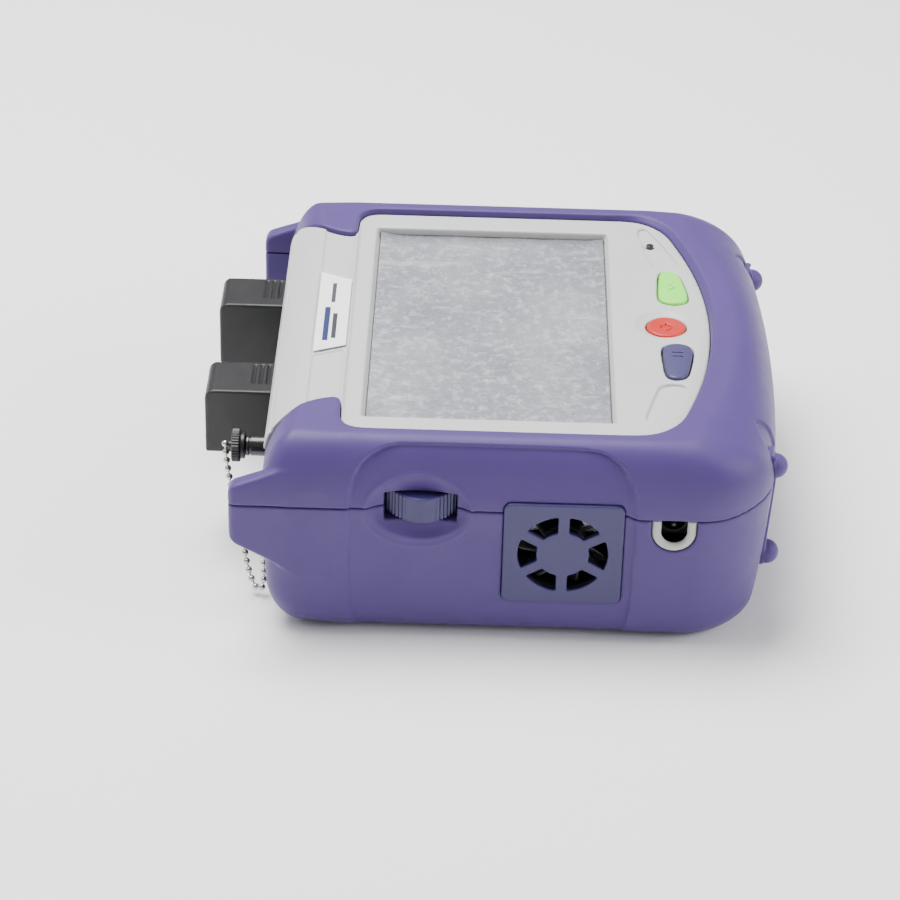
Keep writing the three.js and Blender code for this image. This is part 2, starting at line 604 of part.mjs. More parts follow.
add('fan_grille', fanGrille(), plum);
add('fan_frame', fanFrame(), black);
add('fan_rotor', fanRotor(), black);
add('shield_can', box(6, 56, -80, -44, 37, 64), tin);

add('dc_jack_bezel', jackBezel(), finish(0xb9bbb9, 0.4));
add('dc_jack', jackBody(), black);

for (const [name, y] of Object.entries(COVER_Y)) {
  add(`optical_adapter_${name}`, opticalAdapter(y), finish(0x2f6e45, 0.4));
  add(`port_cover_${name}`, portCover(y), black);
  add(`cover_pin_${name}`, coverPin(y), steel);
}
add('round_port', roundPort(), black);
add('dust_cap', dustCap(), black);
add('chain_anchor', anchor(), steel);
add('cap_chain', chain(), tin);

for (const [name, side] of [['near', -1], ['far', 1]]) {
  add(`foot_strip_${name}`, footStrip(side), violet);
}

add('main_board', box(-74, 92, -78, 78, 32, 33.6), circuit);
add('optical_module', box(-76, -30, -60, 60, 37, 64), tin);
add('battery_pack', box(-16, 76, -58, 58, 5, 27), finish(0x3a3d42, 0.6));
add('battery_door', cut(box(DOOR.x0, DOOR.x1, -DOOR.half, DOOR.half, DOOR.z0, DOOR.z1),
  ...[-1, 1].map((side) => screwHole(DOOR.screwX, side * DOOR.screwY, 2.9, 1.5, 1.7, 6))), violet);
[-1, 1].forEach((side, i) => {
  add(`door_screw_${i + 1}`, screw(DOOR.screwX, side * DOOR.screwY, 2.6, 0.3, 1, 1.4, 9), steel);
});
CASE_SCREWS.forEach(([x, y], i) => {
  add(`case_screw_${i + 1}`, screw(x, y, 3.3, 0.3, 1.1, 1.6, 24), steel);
});

export default tester;
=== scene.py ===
"""Looks of the handheld fibre-optic tester.

Solids are written as fields in millimetres, negative inside the solid, and meshed in metres.
"""

import math

import bpy
import numpy as np
from mathutils import Matrix, Vector


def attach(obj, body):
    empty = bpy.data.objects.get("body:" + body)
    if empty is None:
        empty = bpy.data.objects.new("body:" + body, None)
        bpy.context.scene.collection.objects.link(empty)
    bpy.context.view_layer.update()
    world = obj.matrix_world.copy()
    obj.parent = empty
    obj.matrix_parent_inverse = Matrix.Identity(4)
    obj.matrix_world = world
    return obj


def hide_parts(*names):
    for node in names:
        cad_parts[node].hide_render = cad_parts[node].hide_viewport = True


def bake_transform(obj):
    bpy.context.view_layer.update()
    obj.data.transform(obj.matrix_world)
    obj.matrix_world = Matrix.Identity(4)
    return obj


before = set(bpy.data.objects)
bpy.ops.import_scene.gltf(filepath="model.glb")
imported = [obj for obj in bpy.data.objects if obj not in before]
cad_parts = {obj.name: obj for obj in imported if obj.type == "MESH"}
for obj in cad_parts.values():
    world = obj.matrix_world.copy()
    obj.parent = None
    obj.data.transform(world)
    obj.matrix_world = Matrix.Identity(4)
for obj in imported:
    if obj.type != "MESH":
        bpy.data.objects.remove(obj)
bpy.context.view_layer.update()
MM = 0.001
COARSE = 1.0

# ---- Sizes in millimetres: most are the CAD's, and the finer ones are the visible surface's own ----
GAP = 0.3
SEAM_Z = 59.5
JACK_SEAM_DROP, JACK_SEAM_X = 1.2, 52.5
SEAM_RISE, SEAM_RISE_X = 3.4, 98.0
CREST_Z = 86.5
ROLL_Z = 61.0
HALF_WIDTH = 105.0
END_X = 111.5
LEFT_X = -86.5
WALL = 2.6
SIDE_DRAFT = math.tan(math.radians(3.8))
END_DRAFT = math.tan(math.radians(3.5))
LEFT_DRAFT = math.tan(math.radians(2.0))
CORNER_END = 26.0
CORNER_TOP = 16.0
CORNER_LEFT = 12.0
ROLL_SIDE, ROLL_END, ROLL_LEFT = 12.0, 17.0, 16.0
END_BOW, END_BOW_TOP = 0.0007, 0.0016
FOOT_ROLL_WIDTH, FOOT_ROLL_RISE = 11, 14
PATCH_DEPTH = 0.9
PATCH_RISE = 0.8
PATCH_STEP = 0.8
CHANNEL_DEPTH = 1.2
CREST_BEVEL = 84.2
HORN_TIP = -98.3
HORN_INNER = 97.2

PANEL_Z = 84.0
PANEL_T = 2.6
HOOD_TOP = 85.4
LIP_X, LIP_Z = -86.3, 70.6
SCREEN = {"x0": -48.2, "x1": 44.9, "half": 77.0, "glass": 80.0}
POWER = {"x": 68.2, "r": 7.8, "top": 83.4}
LAMP = (64.0, 67.9)

WHEEL = {"x": -26.0, "y": -88.5, "r": 16.5, "z0": 54.2, "z1": 64.8}
SLOT_LEFT, SLOT_RIGHT, SLOT_ROOM = 13.9, 13.5, 0.6
DISH_SHIFT, DISH_RADII = 0.6, (19.6, 6.2, 14.6)
RING_SHIFT_X, RING_SHIFT_Z, RING_RADII, RING_REACH = 1.2, 0.8, (20.2, 15.7), 17
RING_BEAD = 0.5
BOSS = (-49, -130, 40), (-3, -66, 77)
FAN = {"x": 28.0, "z": 42.0, "plate": 45.2, "t": 2.2, "corner": 3.0, "out": 17.0, "in": 10.0, "spoke": 4.3}
FAN_TILT = math.radians(3.0)
GRILLE_X, GRILLE_Z = 27.6, 41.3
FAN_FACE_Y = -103.7
JACK = {"x": 68.9, "z": 53.0, "r": 8.4, "hole": 4.8}
FOOT_Y, FOOT_HALF, FOOT_Z0, FOOT_Z1, DOME_R = 74.0, 4.5, 22.4, 72.2, 4.8
DOMES = ((107.8, 65.4), (107.1, 26.6))

COVER = {"width": 23.5, "z0": 41.2, "z1": 69.2, "x0": -85.2, "tip": -112.6, "wall": 1.8}
COVER_Y = {"near": -25.2, "far": 44.8}
COVER_PIN = (-88.0, 44.0)
ADAPTER_Z = 57.5
END_PANEL = {"x": -84.5, "t": 2.2, "half": 77.6, "z0": 20.4, "z1": 70.2}
PORT_Y, PORT_Z = -65.0, 62.0
ANCHOR = {"y": -74.5, "z": 33.0, "r": 2.6, "tip": -86.6}
BEAD_R = 1.35
BEAD_PITCH = 3.6
CHAIN_ROUTE = (
    (-102.2, -65, 62.5), (-101.9, -65.3, 57), (-100.9, -65.8, 49), (-99, -67, 38), (-96.9, -68.8, 26.5),
    (-94.8, -70.8, 17), (-93.9, -71.8, 12.4), (-92.6, -73.2, 8), (-91.1, -74.6, 4.6), (-89.3, -75.7, 3),
    (-87.8, -76.2, 4.4), (-87, -76, 8.6), (-87.1, -75.6, 15), (-87.3, -75.2, 21.5), (-87.7, -74.8, 28),
    (-88.1, -74.5, 33),
)

CASE_SCREWS = ((-70, 78), (-70, -78), (86, 70), (86, -70))
DOOR = {"x0": -20.0, "x1": 84.0, "half": 42.0, "z0": 0.2, "z1": 2.5}
DOOR_SCREWS = ((80.5, -30.0), (80.5, 30.0))


# ---- Camera, floor and light ----
def add_camera():
    elevation, yaw, roll = (math.radians(v) for v in (31.43, 0.38, 1.49))
    flat = math.cos(elevation)
    back = Vector((math.sin(yaw) * flat, -math.cos(yaw) * flat, math.sin(elevation)))
    level = (-back).cross(Vector((0, 0, 1))).normalized()
    upright = level.cross(-back)
    right = level * math.cos(roll) + upright * math.sin(roll)
    up = upright * math.cos(roll) - level * math.sin(roll)
    data = bpy.data.cameras.new("view")
    data.lens = 124.88
    data.sensor_width = 36
    data.clip_end = 20
    camera = bpy.data.objects.new("view", data)
    bpy.context.scene.collection.objects.link(camera)
    turn = Matrix((right, up, back)).transposed().to_4x4()
    camera.matrix_world = Matrix.Translation(Vector((-9.25, -1085.7, 686.3)) * MM) @ turn
    bpy.context.scene.camera = camera


def area_light(name, place, target, size, power):
    data = bpy.data.lights.new(name, "AREA")
    data.shape = "RECTANGLE"
    data.size, data.size_y = size
    data.energy = power
    light = bpy.data.objects.new(name, data)
    light.location = place
    light.rotation_euler = (Vector(target) - Vector(place)).to_track_quat("-Z", "Y").to_euler()
    bpy.context.scene.collection.objects.link(light)


def add_surroundings():
    world = bpy.data.worlds.new("studio")
    world.use_nodes = True
    sky = world.node_tree.nodes["Background"]
    sky.inputs["Color"].default_value = (1, 1, 1, 1)
    sky.inputs["Strength"].default_value = 0.42
    bpy.context.scene.world = world
    area_light("overhead", (-0.4, 0.25, 1.45), (0, 0, 0), (1.1, 0.9), 56)
    area_light("right", (1.5, -0.3, 0.8), (0, 0, 0.04), (1.0, 0.8), 20)
    area_light("left", (-1.3, 0.1, 0.9), (0, 0, 0.04), (0.8, 0.8), 4)
    data = bpy.data.meshes.new("floor")
    data.from_pydata([(-6, -6, 0), (6, -6, 0), (6, 6, 0), (-6, 6, 0)], [], [(0, 1, 2, 3)])
    floor = bpy.data.objects.new("floor", data)
    bpy.context.scene.collection.objects.link(floor)
    floor.data.materials.append(FINISH["floor"])


# ---- Materials ----
class Nodes:
    """Short way to build one material's node tree."""

    def __init__(self, name):
        self.material = bpy.data.materials.new(name)
        self.material.use_nodes = True
        self.tree = self.material.node_tree
        self.shader = self.tree.nodes["Principled BSDF"]
        self.place = self.add("ShaderNodeTexCoord").outputs["Object"]

    def add(self, kind, **values):
        node = self.tree.nodes.new(kind)
        for key, value in values.items():
            setattr(node, key, value)
        return node

    def link(self, output, socket):
        self.tree.links.new(output, socket)

    def noise(self, size_mm, detail=2.0, roughness=0.5, stretch=(1, 1, 1)):
        """Noise whose features are about size_mm across, from 0 to 1."""
        scaled = self.add("ShaderNodeMapping")
        scaled.inputs["Scale"].default_value = [v / (size_mm * MM) for v in stretch]
        self.link(self.place, scaled.inputs["Vector"])
        node = self.add("ShaderNodeTexNoise")
        node.inputs["Scale"].default_value = 1
        node.inputs["Detail"].default_value = detail
        node.inputs["Roughness"].default_value = roughness
        self.link(scaled.outputs["Vector"], node.inputs["Vector"])
        return node.outputs["Fac"]

    def spread(self, value, low, high, start=0.3, stop=0.7):
        """Value remapped from start..stop to low..high."""
        node = self.add("ShaderNodeMapRange")
        node.inputs["From Min"].default_value = start
        node.inputs["From Max"].default_value = stop
        node.inputs["To Min"].default_value = low
        node.inputs["To Max"].default_value = high
        self.link(value, node.inputs["Value"])
        return node.outputs["Result"]

    def ramp(self, value, *stops):
        node = self.add("ShaderNodeValToRGB")
        elements = node.color_ramp.elements
        while len(elements) < len(stops):
            elements.new(0.5)
        for element, (position, color) in zip(elements, stops):
            element.position = position
            element.color = (*color, 1)
        self.link(value, node.inputs["Fac"])
        return node.outputs["Color"]

    def mix(self, factor, first, second):
        node = self.add("ShaderNodeMix", data_type="RGBA")
        for value, socket in ((factor, node.inputs[0]), (first, node.inputs[6]), (second, node.inputs[7])):
            if isinstance(value, bpy.types.NodeSocket):
                self.link(value, socket)
            elif isinstance(value, float):
                socket.default_value = value
            else:
                socket.default_value = (*value, 1)
        return node.outputs[2]

    def math(self, operation, *values):
        node = self.add("ShaderNodeMath", operation=operation)
        for value, socket in zip(values, node.inputs):
            if isinstance(value, bpy.types.NodeSocket):
                self.link(value, socket)
            else:
                socket.default_value = value
        return node.outputs[0]

    def bump(self, height, depth_mm, below=None):
        node = self.add("ShaderNodeBump")
        node.inputs["Distance"].default_value = depth_mm * MM
        self.link(height, node.inputs["Height"])
        if below:
            self.link(below, node.inputs["Normal"])
        return node.outputs["Normal"]

    def set(self, **values):
        for key, value in values.items():
            socket = self.shader.inputs[key.replace("_", " ")]
            if isinstance(value, bpy.types.NodeSocket):
                self.link(value, socket)
            elif isinstance(value, tuple):
                socket.default_value = (*value, 1)
            else:
                socket.default_value = value
        return self.material


def scaled_color(color, factor):
    return tuple(min(1.0, c * factor) for c in color)


def moulding(name, color, rough=(0.45, 0.55), grain=0.35, depth=0.02, drift=0.06, wear=0.0, **values):
    """Moulded plastic or rubber: fine grain, slow drift of tone, and edges rubbed a little lighter."""
    n = Nodes(name)
    shades = (0.3, scaled_color(color, 1 - drift)), (0.7, scaled_color(color, 1 + drift))
    tone = n.ramp(n.noise(38, 3), *shades)
    fine = n.noise(grain, 3, 0.6)
    speck = n.spread(fine, 1 - drift / 2, 1 + drift / 2)
    combined = n.add("ShaderNodeVectorMath", operation="SCALE")
    n.link(tone, combined.inputs[0])
    n.link(speck, combined.inputs["Scale"])
    base = combined.outputs[0]
    if wear:
        edge = n.spread(n.add("ShaderNodeNewGeometry").outputs["Pointiness"], 0.0, wear, 0.52, 0.6)
        base = n.mix(edge, base, scaled_color(color, 1.9))
    return n.set(
        Base_Color=base,
        Roughness=n.spread(n.noise(9, 4, 0.6), *rough),
        Normal=n.bump(fine, depth),
        **values,
    )


def metal(name, color, rough=(0.18, 0.34), brush=(1, 1, 1), depth=0.004):
    n = Nodes(name)
    lines = n.noise(0.5, 4, 0.6, brush)
    tone = n.ramp(n.noise(12, 4), (0.3, scaled_color(color, 0.88)), (0.7, color))
    return n.set(Base_Color=tone, Metallic=1.0, Roughness=n.spread(lines, *rough),
                 Normal=n.bump(lines, depth))


def film_finish():
    """Crinkled clear film stuck over a grey screen: bubbles, pale specks, streaks and slow creases, with
    painted shade darkening it towards the far edge.
    """
    n = Nodes("film")
    crinkle = n.noise(3.6, 6, 0.65)
    broad = n.noise(30, 4, 0.6, (1, 0.7, 1))
    streaks = n.noise(11, 5, 0.6, (0.35, 1.6, 1))
    specks = n.noise(2.1, 5, 0.65, (1, 0.6, 1))
    tone = n.ramp(broad, (0.3, (0.21, 0.215, 0.25)), (0.5, (0.27, 0.275, 0.305)), (0.72, (0.36, 0.365, 0.39)))
    pale = n.mix(n.spread(crinkle, 0.0, 0.6, 0.5, 0.66), tone, (0.5, 0.505, 0.53))
    streaked = n.mix(n.spread(streaks, 0.0, 0.3, 0.6, 0.68), pale, (0.62, 0.62, 0.645))
    dotted = n.mix(n.spread(specks, 0.0, 0.55, 0.6, 0.72), streaked, (0.74, 0.74, 0.75))
    dark = n.mix(n.spread(specks, 0.55, 0.0, 0.32, 0.42), dotted, (0.19, 0.195, 0.225))
    place = n.add("ShaderNodeSeparateXYZ")
    n.link(n.place, place.inputs[0])
    # Painted shade: over its last 9 mm towards the far edge (+y) the film's colour turns darker, standing in
    # for the shade the frame wall casts there.
    edge = n.spread(place.outputs[1], 0.0, 0.8, (SCREEN["half"] - 9) * MM, (SCREEN["half"] - 1) * MM)
    tone_with_painted_shade = n.mix(edge, dark, (0.13, 0.133, 0.155))
    creases = n.bump(crinkle, 0.5, n.bump(specks, 0.12))
    return n.set(Base_Color=tone_with_painted_shade, Roughness=n.spread(crinkle, 0.14, 0.4), Normal=creases, Coat_Weight=0.5,
                 Coat_Roughness=0.1, Specular_IOR_Level=0.6)


def circuit_finish():
    n = Nodes("circuit")
    mapped = n.add("ShaderNodeTexBrick")
    mapped.inputs["Scale"].default_value = 130
    mapped.inputs["Color1"].default_value = (0.012, 0.09, 0.035, 1)
    mapped.inputs["Color2"].default_value = (0.02, 0.13, 0.05, 1)
    mapped.inputs["Mortar"].default_value = (0.35, 0.27, 0.08, 1)
    mapped.inputs["Mortar Size"].default_value = 0.012
    n.link(n.place, mapped.inputs["Vector"])
    return n.set(Base_Color=mapped.outputs["Color"], Roughness=n.spread(n.noise(3), 0.25, 0.4))


LABEL_BARS = (
    # x, half its width, y, half its length, ink
    (-66.4, 1.1, -10.5, 13.5, (0.03, 0.04, 0.13)), (-63.2, 0.9, -12, 10, (0.05, 0.05, 0.06)),
    (-64.6, 0.8, 15, 8, (0.07, 0.07, 0.08)),
)


def label_finish():
    """White satin label with three plain printed bars and no lettering."""
    n = Nodes("label")
    base = n.ramp(n.noise(6, 3), (0.3, (0.95, 0.95, 0.96)), (0.7, (0.97, 0.97, 0.98)))
    place = n.add("ShaderNodeSeparateXYZ")
    n.link(n.place, place.inputs[0])
    for x, half_x, y, half_y, ink in LABEL_BARS:
        inside_x = n.math("COMPARE", n.math("SUBTRACT", place.outputs[0], x * MM), 0.0, half_x * MM)
        inside_y = n.math("COMPARE", n.math("SUBTRACT", place.outputs[1], y * MM), 0.0, half_y * MM)
        base = n.mix(n.math("MULTIPLY", inside_x, inside_y), base, ink)
    return n.set(Base_Color=base, Roughness=n.spread(n.noise(0.8, 3), 0.28, 0.36),
                 Normal=n.bump(n.noise(0.6), 0.004))


def floor_finish():
    n = Nodes("floor")
    base = n.ramp(n.noise(400, 3), (0.3, (0.93, 0.93, 0.93)), (0.7, (0.95, 0.95, 0.95)))
    return n.set(Base_Color=base, Roughness=0.7)


VIOLET = (0.063, 0.035, 0.168)
FINISH = {
    "shell": moulding("shell", VIOLET, (0.5, 0.6), 0.3, 0.016, 0.04, 0.25, Sheen_Weight=0.12,
                      Sheen_Roughness=0.4, Specular_IOR_Level=0.4),
    "plum": moulding("plum", (0.026, 0.019, 0.1), (0.34, 0.42), 0.25, 0.008, 0.05, 0.3),
    "panel": moulding("panel", (0.52, 0.535, 0.52), (0.4, 0.5), 0.28, 0.012, 0.02, 0.1),
    "black": moulding("black", (0.022, 0.022, 0.024), (0.4, 0.5), 0.3, 0.012, 0.1, 0.3),
    "cover": moulding("cover", (0.0105, 0.0105, 0.012), (0.42, 0.52), 0.4, 0.02, 0.12, 0.35),
    "cap": moulding("cap", (0.009, 0.009, 0.01), (0.3, 0.4), 0.3, 0.01, 0.1, 0.3),
    "port": moulding("port", (0.01, 0.01, 0.011), (0.2, 0.3), 0.6, 0.006, 0.1, 0.4, Coat_Weight=0.3),
    "bezel": moulding("bezel", (0.46, 0.46, 0.44), (0.35, 0.45), 0.3, 0.01, 0.03, 0.1),
    "adapter": moulding("adapter", (0.025, 0.19, 0.08), (0.25, 0.35), 0.5, 0.006, 0.06, 0.2, Coat_Weight=0.2),
    "green": moulding("green", (0.24, 0.88, 0.085), (0.4, 0.5), 0.3, 0.012, 0.02, 0.1, Sheen_Weight=0.1,
                      Subsurface_Weight=0.15, Subsurface_Scale=0.002),
    "red": moulding("red", (0.52, 0.015, 0.008), (0.38, 0.46), 0.3, 0.01, 0.03, 0.1, Sheen_Weight=0.1,
                    Subsurface_Weight=0.15, Subsurface_Scale=0.002),
    "blue": moulding("blue", (0.044, 0.037, 0.125), (0.4, 0.48), 0.3, 0.01, 0.04, 0.15, Sheen_Weight=0.1),
    "wrap": moulding("wrap", (0.04, 0.045, 0.055), (0.3, 0.4), 1.2, 0.02, 0.15),
    "lens": moulding("lens", (0.02, 0.016, 0.016), (0.25, 0.35), 2.0, 0.002, 0.1, Coat_Weight=0.2),
    "glass": moulding("glass", (0.16, 0.165, 0.18), (0.06, 0.12), 3.0, 0.002, 0.05, Coat_Weight=0.6),
    "steel": metal("steel", (0.56, 0.57, 0.59)),
    "nickel": metal("nickel", (0.6, 0.57, 0.52), (0.14, 0.3)),
    "tin": metal("tin", (0.78, 0.79, 0.8), (0.2, 0.38), (1, 0.08, 1)),
    "film": film_finish(),
    "circuit": circuit_finish(),
    "label": label_finish(),
    "floor": floor_finish(),
}


# ---- Fields: arrays of signed distances, negative inside ----
def meet(a, b, radius=0.0):
    """What is inside both, its edge rounded by radius."""
    near = np.minimum(np.maximum(a + radius, b + radius), 0)
    return near + np.hypot(np.maximum(a + radius, 0), np.maximum(b + radius, 0)) - radius


def cut(a, b, radius=0.0):
    """a without b, the mouth rounded by radius."""
    return meet(a, -b, radius)


def fuse(a, b, radius=0.0):
    """What is inside either, the inner corner filled by radius."""
    return -meet(-a, -b, radius)


def between(v, low, high):
    return np.maximum(low - v, v - high)


def brick(x, y, z, low, high, radius=0.0):
    """Box between two corners with every edge rounded."""
    spans = [(np.abs(v - (a + b) / 2) - (b - a) / 2 + radius) for v, a, b in zip((x, y, z), low, high)]
    outer = np.sqrt(sum(np.maximum(s, 0) ** 2 for s in spans))
    inner = np.minimum(np.maximum(np.maximum(spans[0], spans[1]), spans[2]), 0)
    return outer + inner - radius


def ball(x, y, z, centre, radii):
    """Ellipsoid."""
    parts = [(v - c) / r for v, c, r in zip((x, y, z), centre, radii)]
    reach = np.sqrt(sum(p ** 2 for p in parts))
    slope = np.sqrt(sum((p / r) ** 2 for p, r in zip(parts, radii))) + 1e-6
    return reach * (reach - 1) / slope


def stroke(u, v, start, end, half):
    """Flat line with round ends."""
    along = np.subtract(end, start)
    du, dv = u - start[0], v - start[1]
    t = np.clip((du * along[0] + dv * along[1]) / (along @ along), 0, 1)
    return np.hypot(du - t * along[0], dv - t * along[1]) - half


def polygon(u, v, corners):
    """Flat closed outline."""
    u, v = np.broadcast_arrays(u, v)
    nearest = np.full(u.shape, 1e9, np.float32)
    inside = np.zeros(u.shape, bool)
    for (au, av), (bu, bv) in zip(corners, corners[1:] + corners[:1]):
        eu, ev = bu - au, bv - av
        du, dv = u - au, v - av
        t = np.clip((du * eu + dv * ev) / (eu * eu + ev * ev), 0, 1)
        nearest = np.minimum(nearest, (du - t * eu) ** 2 + (dv - t * ev) ** 2)
        if ev:
            inside ^= ((av > v) != (bv > v)) & (u < au + dv * eu / ev)
    return np.where(inside, -1, 1) * np.sqrt(nearest)


def softened(corners, times=3):
    """Closed outline with its corners cut round."""
    for _ in range(times):
        corners = [
            (a[0] * s + b[0] * (1 - s), a[1] * s + b[1] * (1 - s))
            for a, b in zip(corners, corners[1:] + corners[:1])
            for s in (0.75, 0.25)
        ]
    return corners


def ease(distance, width):
    """1 well inside an outline, 0 outside it, over a smooth slope of the given width."""
    t = np.clip(0.5 - distance / width, 0, 1)
    return t * t * (3 - 2 * t)


# ---- Case form ----
def rolled(plan, height, width, rise):
    """Elliptic edge between a wall (plan) and a level face (height), width by rise in size."""
    u = np.maximum(plan / width + 1, 0)
    v = np.maximum(height / rise + 1, 0)
    reach = np.hypot(u, v)
    slope = np.hypot(u / width, v / rise) + 1e-6
    return np.where(reach > 0.05, (reach - 1) * reach / slope, -0.5 * width)


def half_width(z):
    return HALF_WIDTH - np.maximum(0, SEAM_Z - z) * SIDE_DRAFT


SIDE_PATCH = softened([
    (-49, -12), (-51, 6), (-53, 17), (-53, 38), (-53, 58), (-52.6, 67), (-51.4, 73), (-48.8, 78),
    (-44.5, 81.6), (-38, 84), (-30, 84.3), (30, 84.2), (39, 83.9), (44.4, 82.2), (48.4, 79.4),
    (51.8, 74.6), (54, 68.5), (54.8, 61), (54, 40), (54, 17), (52, 6), (49, -12),
], 2)
FOOT_CHANNEL = softened([
    (61, -12), (61, 30), (61, 60), (61.5, 74), (64.5, 80), (68, 80.4), (74, 77), (78.5, 70.5), (80, 60),
    (81, 35), (84, 16), (87, 6), (87, -12),
], 2)


def case_form(x, y, z):
    """The case before any opening is cut, with its shallow sunk fields on both sides and the key end."""
    high = np.clip((z - ROLL_Z) / (CREST_Z - ROLL_Z), 0, 1)
    below = np.maximum(0, SEAM_Z - z)
    side = np.abs(y) - half_width(z)
    bow = END_BOW + END_BOW_TOP * high ** 4
    end = (x - END_X + below * END_DRAFT + bow * y ** 2) / np.sqrt(1 + (2 * bow * y) ** 2)
    left = LEFT_X + below * LEFT_DRAFT - x
    depth = PATCH_DEPTH + PATCH_RISE * ease(66 - z, 14)
    side = side + depth * ease(polygon(x, z, SIDE_PATCH), PATCH_STEP)
    end = end + CHANNEL_DEPTH * ease(polygon(np.abs(y), z, FOOT_CHANNEL), PATCH_STEP)
    right_half = x > 0
    lengthwise = np.where(right_half, end, left)
    corner = np.where(right_half, CORNER_END + (CORNER_TOP - CORNER_END) * high, CORNER_LEFT)
    plan = meet(lengthwise, side, corner)
    u2 = np.maximum(lengthwise + 30, 0) ** 2
    v2 = np.maximum(side + 30, 0) ** 2
    share = u2 / (u2 + v2 + 1e-6)
    top_width = ROLL_SIDE + share * (np.where(right_half, ROLL_END, ROLL_LEFT) - ROLL_SIDE)
    foot_width = FOOT_ROLL_WIDTH + share * np.where(right_half, 3.0, 10.0)
    foot_rise = FOOT_ROLL_RISE + share * np.where(right_half, 0.0, 8.5)
    top = rolled(plan, z - CREST_Z, top_width, CREST_Z - ROLL_Z)
    return np.maximum(top, rolled(plan, -z, foot_width, foot_rise))


HORN_SLOPES = [
    (-60, 27), (-72.6, 27), (-84.5, 35), (-97, 42), (-112, 50), (-112, 62), (-98.3, 66.9), (-86, 71.6),
    (-79, 74.4), (-60, 75),
]


def horns(x, y, z):
    """Bumpers that run out past the connector end on both sides."""
    side = rolled(np.abs(y) - half_width(z) + 0.25, z - CREST_Z, ROLL_SIDE, CREST_Z - ROLL_Z)
    wedge = meet(polygon(x, z, HORN_SLOPES), side, 1.4)
    return meet(meet(wedge, HORN_TIP - x, 3.0), HORN_INNER - np.abs(y), 1.4)


def seam_height(x):
    """Height of the seam, which dips at the jack and climbs round the button end."""
    return SEAM_Z - JACK_SEAM_DROP * ease(JACK_SEAM_X - x, 3.0) + SEAM_RISE * ease(SEAM_RISE_X - x, 26.0)


def dish(x, y, z):
    centre = (WHEEL["x"] - DISH_SHIFT, -HALF_WIDTH - DISH_SHIFT, SEAM_Z + DISH_SHIFT)
    return ball(x, y, z, centre, DISH_RADII)


def dish_ring(x, z):
    """Oval line around the dish."""
    across = (x - WHEEL["x"] + RING_SHIFT_X) / RING_RADII[0]
    up = (z - SEAM_Z + RING_SHIFT_Z) / RING_RADII[1]
    return (np.hypot(across, up) - 1) * RING_REACH


def wheel_slot(x, y, z):
    low, high = WHEEL["z0"] - SLOT_ROOM, WHEEL["z1"] + SLOT_ROOM
    left, right = WHEEL["x"] - SLOT_LEFT, WHEEL["x"] + SLOT_RIGHT
    mouth = brick(x, y, z, (left, -115, low), (right, WHEEL["y"], high), 0.5)
    round_part = np.hypot(x - WHEEL["x"], y - WHEEL["y"]) - WHEEL["r"] - SLOT_ROOM
    return fuse(mouth, meet(round_part, between(z, low, high)))


def fan_local(x, y, z):
    """Coordinates on the leaning fan plate: across, into the case, up."""
    dy, dz = y - FAN_FACE_Y, z - GRILLE_Z
    return x - GRILLE_X, dy * math.cos(FAN_TILT) + dz * math.sin(FAN_TILT), \
        dz * math.cos(FAN_TILT) - dy * math.sin(FAN_TILT)


def fan_square(x, y, z, growth, front, back):
    u, v, w = fan_local(x, y, z)
    half = FAN["plate"] / 2 + growth
    return meet(meet(np.abs(u) - half, np.abs(w) - half, FAN["corner"]), between(v, front, back))


def jack_outline(x, z, radius):
    return np.where(z > JACK["z"], np.abs(x - JACK["x"]), np.hypot(x - JACK["x"], z - JACK["z"])) - radius


def outside_cuts(form, x, y, z):
    bead = meet(np.abs(dish_ring(x, z)) - RING_BEAD, meet(form - 0.3, y + 90))
    form = cut(fuse(form, bead, RING_BEAD), dish(x, y, z), 0.6)
    form = cut(form, wheel_slot(x, y, z), 0.4)
    return cut(form, fan_square(x, y, z, 0.12, -6, 8), 0.5)


def end_window(x, y, z):
    return brick(x, y, z, (-110, -78, END_PANEL["z0"] - GAP), (-70, 78, 71), 1.0)


def shell_form(x, y, z):
    """Case and bumpers joined, and no wider than the case."""
    joined = fuse(case_form(x, y, z), horns(x, y, z), 1.2)
    return np.maximum(joined, np.abs(y) - HALF_WIDTH)


def boss(x, y, z):
    """Solid block that holds the thumb wheel's pocket."""
    return brick(x, y, z, *BOSS)


PANEL_HALF_OUTLINE = [(85.3 - 0.0024 * y * y, y) for y in (0, 10, 20, 30, 40, 50, 60, 68)] + [
    (71.8, 75.5), (68.6, 81), (63.5, 86), (57.5, 88.6), (50, 89), (30, 89), (-40, 89), (-48, 89),
    (-51.5, 88.6), (-55, 86.8), (-57, 82.5), (-57.2, 78), (-57.4, 72.6), (-57.7, 68.7),
    (-59.4, 67), (-62.5, 67.2), (-68, 69.4), (-73, 73), (-78, 76.8), (-82.5, 80.6), (-96, 86),
]
PANEL_OUTLINE = softened(PANEL_HALF_OUTLINE + [(x, -y) for x, y in PANEL_HALF_OUTLINE[:0:-1]], 2)


def upper_shell(x, y, z):
    form = shell_form(x, y, z)
    bevel = np.maximum(z - CREST_BEVEL, 0) * ease(56 - x, 20) * ease(-y, 60)
    opening = meet(polygon(x, y, PANEL_OUTLINE) - 0.35 - bevel, LIP_Z - GAP - z)
    cavity = cut(np.maximum(form + WALL, z - 81), boss(x, y, z))
    wall = meet(outside_cuts(form, x, y, z), seam_height(x) + GAP / 2 - z, 0.45)
    wall = cut(wall, opening, 0.45)
    return cut(cut(wall, end_window(x, y, z), 0.6), cavity)


